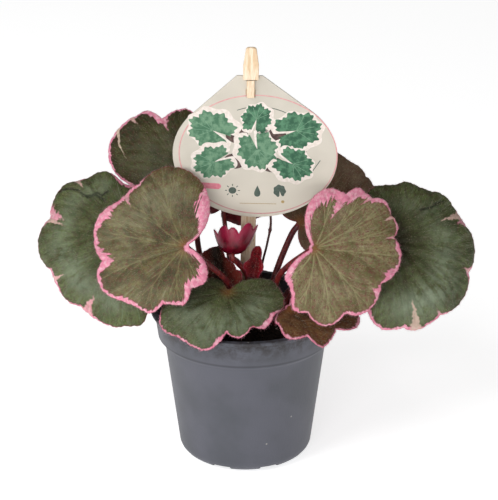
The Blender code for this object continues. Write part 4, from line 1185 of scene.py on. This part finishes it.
def pot_finish():
    s = Shader("pot_plastic", 0.5, 0.32)
    place, height = s.place(), s.height()
    base = s.cover(colour(78, 80, 87), colour(88, 89, 98), s.noise(place, 0.03, 3), 0.35, 0.65)
    base = s.cover(base, colour(80, 79, 84), s.noise(place, 1.4, 3, 0.7), 0.52, 0.72, 0.16)
    # Dark patches on the band under the lip: soil dust, and painted shade of the lip and the leaves
    # above.
    dust_and_shade = s.rise(s.noise(place, 0.16, 5, 0.75), 0.38, 0.62, 0.85)
    base = s.mix(s.times(dust_and_shade, s.rise(height, 70, 83)), base, colour(46, 41, 40))
    # Painted shade: a dark line at the foot of the band, where its underside lies in shadow.
    band_foot_shade = s.add("Math", 0, {0: s.less(height, BAND_FOOT)}, operation="ABSOLUTE")
    base = s.cover(base, colour(48, 48, 54), band_foot_shade, 1.3, 0.3, 0.55)
    base = s.cover(base, colour(176, 172, 166), s.cells(place, 0.07), 0.045, 0.02, 0.7)
    scratch = s.noise(s.stretch(place, (1.0, 1.0, 0.06)), 1.2, 3, 0.6)
    return s.finish(base, s.bump(s.noise(place, 0.9, 3, 0.6), 0.06, s.bump(scratch, 0.05)))


def dress_pot():
    """The pot: turned with its lip, hollowed, and cut with the foot's notches and drain holes."""
    lip = [(LIP_RADIUS - LIP_CORNER, POT_HEIGHT - LIP_HEIGHT),
           (LIP_RADIUS, POT_HEIGHT - LIP_HEIGHT + LIP_CORNER)]
    for angle in np.radians(np.linspace(0, 90, 5)):
        lip.append((LIP_RADIUS - LIP_ROUNDING * (1 - math.cos(angle)),
                    POT_HEIGHT - LIP_ROUNDING * (1 - math.sin(angle))))
    pot = turned("pot_body", pot_profile(0, POT_HEIGHT) + lip + [(0, POT_HEIGHT)])
    cavity = pot_profile(WALL, POT_HEIGHT)
    above = POT_HEIGHT + CUT_OVERLAP
    inside = turned("inside", cavity + [(cavity[-1][0], above), (0, above)])
    apply_boolean(inside, notches("inner_notches", WALL, NOTCH_HEIGHT + WALL), "DIFFERENCE")
    apply_boolean(pot, notches("outer_notches", 0, NOTCH_HEIGHT), "DIFFERENCE")
    apply_boolean(pot, inside, "DIFFERENCE")
    drains = ring_of_prisms("drains", round_outline(DRAIN_RADIUS, DRAIN_SIDES, DRAIN_CIRCLE),
                            -CUT_OVERLAP, NOTCH_HEIGHT + WALL + 1.5)
    apply_boolean(pot, drains, "DIFFERENCE")
    finish_solid(pot, "pot", "pot", pot_finish(), 40)


def soil_height(x, y):
    """The uneven top of the soil."""
    bumps = (math.sin(0.21 * x + 0.6) * math.cos(0.17 * y - 0.4)
             + 0.6 * math.sin(0.43 * x - 0.31 * y + 1.7))
    return SOIL_TOP + SOIL_UNEVEN * bumps / 1.6


def crumbly_height(x, y):
    """The soil's top with the small roughness of crumbs."""
    rough = 1.3 * noise.noise(Vector((x * 0.3, y * 0.3, 2.0)))
    rough += 0.9 * noise.noise(Vector((x * 0.8, y * 0.8, 5.0)))
    return soil_height(x, y) + min(rough, 1.4)


def soil_finish(name, dark, light):
    s = Shader(name, 0.9, 0.2)
    place = s.place()
    base = s.cover(dark, light, s.noise(place, 0.5, 4, 0.7), 0.35, 0.7)
    base = s.cover(base, colour(16, 12, 10), s.noise(place, 2.6, 3, 0.7), 0.55, 0.75, 0.5)
    return s.finish(base, s.bump(s.noise(place, 2.0, 4, 0.7), 0.6))


def soil_crumbs(outer):
    """Loose crumbs and, now and then, a pale grain that lie on the soil inside this radius."""
    ball = bmesh.new()
    bmesh.ops.create_icosphere(ball, subdivisions=1, radius=1)
    ball_points = np.array([v.co[:] for v in ball.verts])
    ball_faces = [[v.index for v in face.verts] for face in ball.faces]
    ball.free()
    crumbs = []
    for number in range(CRUMB_COUNT):
        radius = outer * math.sqrt(random.random())
        turn = random.uniform(0, 2 * math.pi)
        x, y = radius * math.cos(turn), radius * math.sin(turn)
        pale = number % PALE_CRUMB_STEP == 0
        size = random.uniform(0.35, 0.6) if pale else random.uniform(0.4, 1.5)
        shape = ball_points * random.uniform(0.6, 1.1, (len(ball_points), 1))
        shape = shape * size * random.uniform(0.6, 1.2, 3)
        crumbs.append((shape + (x, y, soil_height(x, y) + 0.6 + 0.3 * size), ball_faces,
                       2 if pale else 1))
    return crumbs


def dress_soil():
    """The soil in the pot, with a crumbly top and loose crumbs and pale grains on it."""
    side = [(radius, height) for radius, height in pot_profile(WALL + CLEARANCE, SOIL_TOP)
            if height > SOIL_BOTTOM]
    outer = side[-1][0]
    rings, points = [], [(0, 0, SOIL_BOTTOM), (0, 0, soil_height(0, 0))]
    levels = [(side[0][0] - 1, SOIL_BOTTOM), *side[:-1]]
    levels += [(radius, None) for radius in np.linspace(outer, 0.9, SOIL_RINGS)]
    for radius, height in levels:
        rings.append(np.arange(len(points), len(points) + SOIL_SIDES))
        points += [(x, y, crumbly_height(x, y) if height is None else height)
                   for x, y in round_outline(radius, SOIL_SIDES)]
    faces = [stitch(inner, outer)[:, ::-1] for inner, outer in zip(rings, rings[1:])]
    faces += [fan(0, rings[0])[:, ::-1], fan(1, rings[-1])]
    finishes = [soil_finish("soil_bed", colour(30, 24, 20), colour(56, 44, 36)),
                soil_finish("soil_crumb", colour(26, 20, 18), colour(66, 50, 38)),
                soil_finish("soil_grain", colour(150, 142, 130), colour(196, 190, 178))]
    parts = [(points, np.concatenate(faces), 0), *soil_crumbs(outer - 2.2)]
    make_piece("soil_bed", parts, finishes, "soil", "soil", sharp=60)


def stick_frame():
    """The stick's own frame: x to the right, y backward through it and z up along it."""
    lean = Matrix.Rotation(math.radians(STICK_LEAN), 4, "X")
    side_lean = Matrix.Rotation(math.radians(STICK_SIDE_LEAN), 4, "Y")
    return Matrix.Translation(Vector(STICK_FOOT) * MM) @ lean @ side_lean


def wood_finish():
    s = Shader("stick_wood", 0.55, 0.3)
    along = s.stretch(s.place(), (1.0, 1.0, 0.07))
    base = s.cover(colour(226, 196, 158), colour(250, 230, 204),
                   s.noise(along, 0.9, 3, 0.6, 0.6), 0.36, 0.62)
    base = s.cover(base, colour(196, 156, 116), s.noise(along, 3.2, 3, 0.7), 0.52, 0.72, 0.5)
    return s.finish(base, s.bump(s.noise(along, 2.6, 3, 0.7), 0.2))


def dress_stick():
    """The stick: a shaft behind the card, a bridge through its slot, a neck and a tapered head."""
    placement = stick_frame()
    front = TAG_FRONT - CLEARANCE
    neck_front = front - STICK_NECK_THICKNESS
    slot_low = SLOT_HEIGHT - SLOT_OPENING[1] / 2 + CLEARANCE
    slot_high = SLOT_HEIGHT + SLOT_OPENING[1] / 2 - CLEARANCE
    shaft = prism("stick_body", box_outline(STICK_WIDTH, 0, STICK_THICKNESS), -STICK_DEPTH,
                  slot_high, placement)
    bridge = prism("bridge", box_outline(STICK_NECK_WIDTH, neck_front, 1.0), slot_low,
                   slot_high, placement)
    neck = prism("neck", box_outline(STICK_NECK_WIDTH, neck_front, front), slot_low + 0.5,
                 STICK_HEAD_FOOT + 3, placement)
    wide, tip = STICK_WIDTH / 2, STICK_HEAD_TIP_WIDTH / 2
    middle = STICK_HEAD_FOOT + 0.45 * (STICK_TOP - STICK_HEAD_FOOT)
    right = [(wide, STICK_HEAD_FOOT), (wide, middle), (tip, STICK_TOP - 1), (tip - 1, STICK_TOP)]
    outline = [(-wide, STICK_HEAD_FOOT), *right, *((-x, height) for x, height in right[:0:-1])]
    head = prism("head", outline, neck_front - 0.2, front, placement, standing=True)
    for piece in (bridge, neck, head):
        apply_boolean(shaft, piece, "UNION")
    finish_solid(shaft, "tag_stick", "wood", wood_finish(), 30, STICK_CHAMFER)


def tag_outline():
    """The card's edge as (x, height) along the stick: a slightly turned oval whose upper part
    narrows in two straight lines to a blunt tip."""
    turn = math.radians(TAG_TURN)
    axes = np.array([(math.cos(turn), math.sin(turn)), (-math.sin(turn), math.cos(turn))])
    touches = []
    for tip_x, side in zip(TAG_TIP, (1, -1)):
        out = axes @ (np.array([tip_x, TAG_TIP_HEIGHT]) - TAG_CENTRE) / TAG_RADII
        touches.append(math.atan2(out[1], out[0]) + side * math.acos(1 / math.hypot(*out)))
    angles = np.linspace(touches[0], 2 * math.pi + touches[1], TAG_ARC_POINTS)
    arc = np.stack([np.cos(angles), np.sin(angles)], 1) * TAG_RADII @ axes + TAG_CENTRE
    return [*arc, *((x, TAG_TIP_HEIGHT) for x in TAG_TIP[::-1])]


def card_finish():
    s = Shader("card_board", 0.5, 0.35)
    place = s.place()
    base = s.cover(colour(202, 195, 182), colour(209, 202, 189), s.noise(place, 0.05, 2),
                   0.35, 0.65)
    base = s.cover(base, colour(186, 180, 166), s.noise(place, 2.5, 3, 0.7), 0.5, 0.75, 0.18)
    # Painted light: the card is painted lighter towards its lower part, against the shade of the
    # leaves in front.
    base = s.cover(base, colour(226, 218, 203), s.height(), TAG_CENTRE[1], TAG_CENTRE[1] - 34)
    return s.finish(base, s.bump(s.noise(place, 2.2, 3, 0.6), 0.05))


def ink_finish(name):
    first, second, scale = INKS[name]
    s = Shader(f"ink_{name}", 0.5, 0.3)
    return s.finish(s.cover(colour(*first), colour(*second), s.noise(s.place(), scale, 3, 0.6),
                            0.38, 0.64))


def edge_lines(line, half, closed=False):
    """The two edges of a band of this half width along a line of (x, height)."""
    line = np.array(line, float)
    ahead = np.roll(line, -1, 0) - np.roll(line, 1, 0) if closed else np.gradient(line, axis=0)
    across = unit(np.stack([-ahead[:, 1], ahead[:, 0]], 1)) * half
    return line + across, line - across


def strip(line, half):
    """The outline of a thin band along a line."""
    left, right = edge_lines(line, half)
    return [*left, *right[::-1]]


def oval(centre, radii, turn=0.0, count=96, start=0.0, stop=360.0):
    """Points on an oval, or on the arc of one, as (x, height)."""
    angles = np.radians(np.linspace(start, stop, count, endpoint=stop - start < 360))
    return placed([(radii[0] * math.cos(a), radii[1] * math.sin(a)) for a in angles], centre, turn)


def printed_leaf(centre, size, turn, lobes=8, deep=0.06, ragged=0.0):
    """A round lobed leaf with a notch at its stalk, as (x, height) points."""
    points = []
    for angle in np.linspace(-168, 168, 120):
        a = math.radians(angle)
        r = size * (1 + deep * math.cos(lobes * a) + ragged * math.sin(23 * a + size))
        r *= 1 - 0.35 * math.exp(-((180 - abs(angle)) / 16) ** 2)
        points.append((r * math.cos(a), 0.85 * r * math.sin(a)))
    return placed([*points, (0, 0)], centre, turn)


def beside(centre, distance, turn):
    """The point at this distance from a centre in the direction of turn."""
    return placed([(distance, 0)], centre, turn)[0]


def printed_frame():
    """The ring near the card's edge and a short arc inside it, as (ink, outline, layer)."""
    left, right = edge_lines(oval(RING_CENTRE, RING_RADII, TAG_TURN, 180), 0.3, closed=True)
    for i in range(len(left)):
        yield "ring", [left[i - 1], left[i], right[i], right[i - 1]], 1
    yield "sign", strip(oval(ARC_CENTRE, (ARC_RADIUS, ARC_RADIUS), 0, 40, 62, 112), 0.22), 1


def printed_picture():
    """Pale-edged leaves with veins, and dark gaps between them, as (ink, outline, layer)."""
    for centre, size in PRINTED_GAPS:
        yield "gap", oval(centre, (size, 0.8 * size), 0, 24), 1
    for number, (centre, size, turn) in enumerate(PRINTED_LEAVES):
        layer = 2 + 3 * (number % 3)
        yield "cream", printed_leaf(centre, size, turn), layer
        inner = beside(centre, 0.08 * size, turn + 70)
        blade = printed_leaf(inner, size * 0.84, turn, deep=0.09, ragged=0.06)
        yield "leaf" if number % 2 else "pale_leaf", blade, layer + 1
        for spoke in (-52, -26, 0, 26, 52):
            vein = [inner, beside(inner, 0.66 * size, turn + spoke)]
            yield "vein", strip(vein, 0.12), layer + 2


def printed_signs():
    """Under the picture a sun, a drop, a leaf, a line with a dot and a pink pill, and short lines
    at the right, as (ink, outline, layer)."""
    yield "sign", oval(SUN_PLACE, (2.1, 2.1), 0, 32), 1
    for turn in range(0, 360, 45):
        yield "sign", strip([beside(SUN_PLACE, 2.9, turn), beside(SUN_PLACE, 4.1, turn)], 0.24), 1
    drop = [(2.4 * math.sin(t) * math.sin(t / 2) ** 1.5, 3.6 * math.cos(t))
            for t in np.linspace(0, 2 * math.pi, 48, endpoint=False)]
    yield "sign", placed(drop, DROP_PLACE, 0), 1
    yield "sign", printed_leaf(LEAF_SIGN_PLACE, 3.9, 100, lobes=7), 1
    yield "gold", strip([(-5, 71.4), (15, 71.2)], 0.16), 1
    yield "gold", oval((18.5, 72.6), (1.0, 1.0), 0, 6), 1
    for line in SHORT_LINES:
        yield "sign", strip(line, 0.22), 1
    left_end = oval((-26, 82.6), (1.8, 1.8), 0, 20, 90, 270)
    yield "pink", left_end + oval((-17, 82), (1.8, 1.8), 0, 20, -90, 90), 1


def dress_card():
    """The card with its slot, and the print on its front as thin raised shapes."""
    placement = stick_frame()
    card = prism("card_body", tag_outline(), TAG_FRONT, -TAG_GAP, placement, standing=True)
    width, height = SLOT_OPENING
    slot = prism("slot", box_outline(width, TAG_FRONT - 1, 0.3 - TAG_GAP),
                 SLOT_HEIGHT - height / 2, SLOT_HEIGHT + height / 2, placement)
    apply_boolean(card, slot, "DIFFERENCE")
    finish_solid(card, "tag", "card", card_finish(), 35)
    rows = np.array(placement)
    parts = []
    for ink, outline, layer in (*printed_frame(), *printed_picture(), *printed_signs()):
        after = [*outline[1:], outline[0]]
        area = sum(a[0] * b[1] - b[0] * a[1] for a, b in zip(outline, after))
        points, faces = extrusion(outline if area >= 0 else outline[::-1],
                                  TAG_FRONT - INK_THICKNESS * layer, TAG_FRONT + INK_THICKNESS,
                                  standing=True)
        world = np.array(points) @ rows[:3, :3].T + rows[:3, 3] / MM
        parts.append((world, faces, list(INKS).index(ink)))
    make_piece("card_print", parts, [ink_finish(name) for name in INKS], "tag", "card", sharp=30)


def dress_stolon():
    """The runner, with one swollen node, and a plantlet's closed bud at its end."""
    path = smooth_route(STOLON_ROUTE, 90)
    lead = np.array(STOLON_ROUTE[1], float)
    path = np.array([STOLON_ROUTE[0], lead, *path[path[:, 2] > lead[2] + 2]])
    along = lengths_along(path)
    node = along[int(np.argmin(np.abs(path[: len(path) // 2, 2] - STOLON_NODE_Z)))]
    swelling = np.exp(-(((along - node) / STOLON_NODE_LENGTH) ** 2))
    radii = STOLON_RADIUS + (STOLON_NODE_RADIUS - STOLON_RADIUS) * swelling
    left = (along[-1] - along) / STOLON_BUD_LENGTH
    bud = 2 * STOLON_BUD_RADIUS * np.sqrt(np.clip(left * (1 - left), 0, 1))
    least = np.where(left < 0.5, 0.15, STOLON_RADIUS)
    radii = np.where(left < 1, np.maximum(bud, least), radii)
    parts = [(*tube(path, radii, (1, 0, 0)), 0), (*hairs_on_stalk(path[2:], radii[2:], 1.2), 1)]
    make_piece("stolon_piece", parts, [RUNNER, HAIR], "stolon", "stalk")


def set_floor():
    """A wide sheet of white paper, which glows a little so that it stays white."""
    s = Shader("floor_paper", 0.9, 0.1)
    s.fill(s.surface, {"Emission Color": (1, 1, 1, 1), "Emission Strength": 0.7})
    paper = s.mix(s.noise(s.place(), 0.002, 1), (0.9, 0.9, 0.9, 1), (0.93, 0.93, 0.93, 1))
    mesh = bpy.data.meshes.new("floor")
    half = FLOOR_HALF
    mesh.from_pydata([(x, y, 0) for x, y in box_outline(2 * half, -half, half)], [],
                     [(0, 1, 2, 3)])
    mesh.materials.append(s.finish(paper))
    floor = linked("floor", mesh)


def set_light(name, place, target, size, power):
    """A round area light, with its place and size in metres."""
    data = bpy.data.lights.new(name, "AREA")
    data.shape = "DISK"
    data.size = size
    data.energy = power
    light = linked(name, data)
    light.location = place
    aim = Vector(target) - light.location
    light.rotation_euler = aim.to_track_quat("-Z", "Y").to_euler()


def set_world():
    """A faint even white light from all sides."""
    world = bpy.data.worlds.new("studio")
    world.use_nodes = True
    background = world.node_tree.nodes["Background"]
    background.inputs["Color"].default_value = (1, 1, 1, 1)
    background.inputs["Strength"].default_value = 0.17
    bpy.context.scene.world = world


def set_camera():
    data = bpy.data.cameras.new("camera")
    data.sensor_fit = "VERTICAL"
    data.sensor_height = 36
    data.lens = CAMERA_LENS
    camera = linked("camera", data)
    camera.location = CAMERA_PLACE
    camera.rotation_euler = (math.radians(CAMERA_TILT), 0, 0)
    bpy.context.scene.camera = camera
    bpy.context.scene.view_settings.view_transform = "Standard"


HAIR = hair_finish("leaf_hair", colour(196, 188, 160), colour(190, 172, 146))
FRINGE = hair_finish("edge_hair", colour(238, 196, 204), colour(222, 150, 168))
STALK = stalk_finish("stalk_skin", colour(88, 16, 26), colour(130, 42, 38))
RUNNER = stalk_finish("runner_skin", colour(44, 14, 16), colour(78, 26, 26))
dress_pot()
dress_soil()
for one_leaf in LEAVES:
    dress_leaf(one_leaf)
dress_stolon()
dress_stick()
dress_card()
set_floor()
for light in LIGHTS:
    set_light(**light)
set_world()
set_camera()
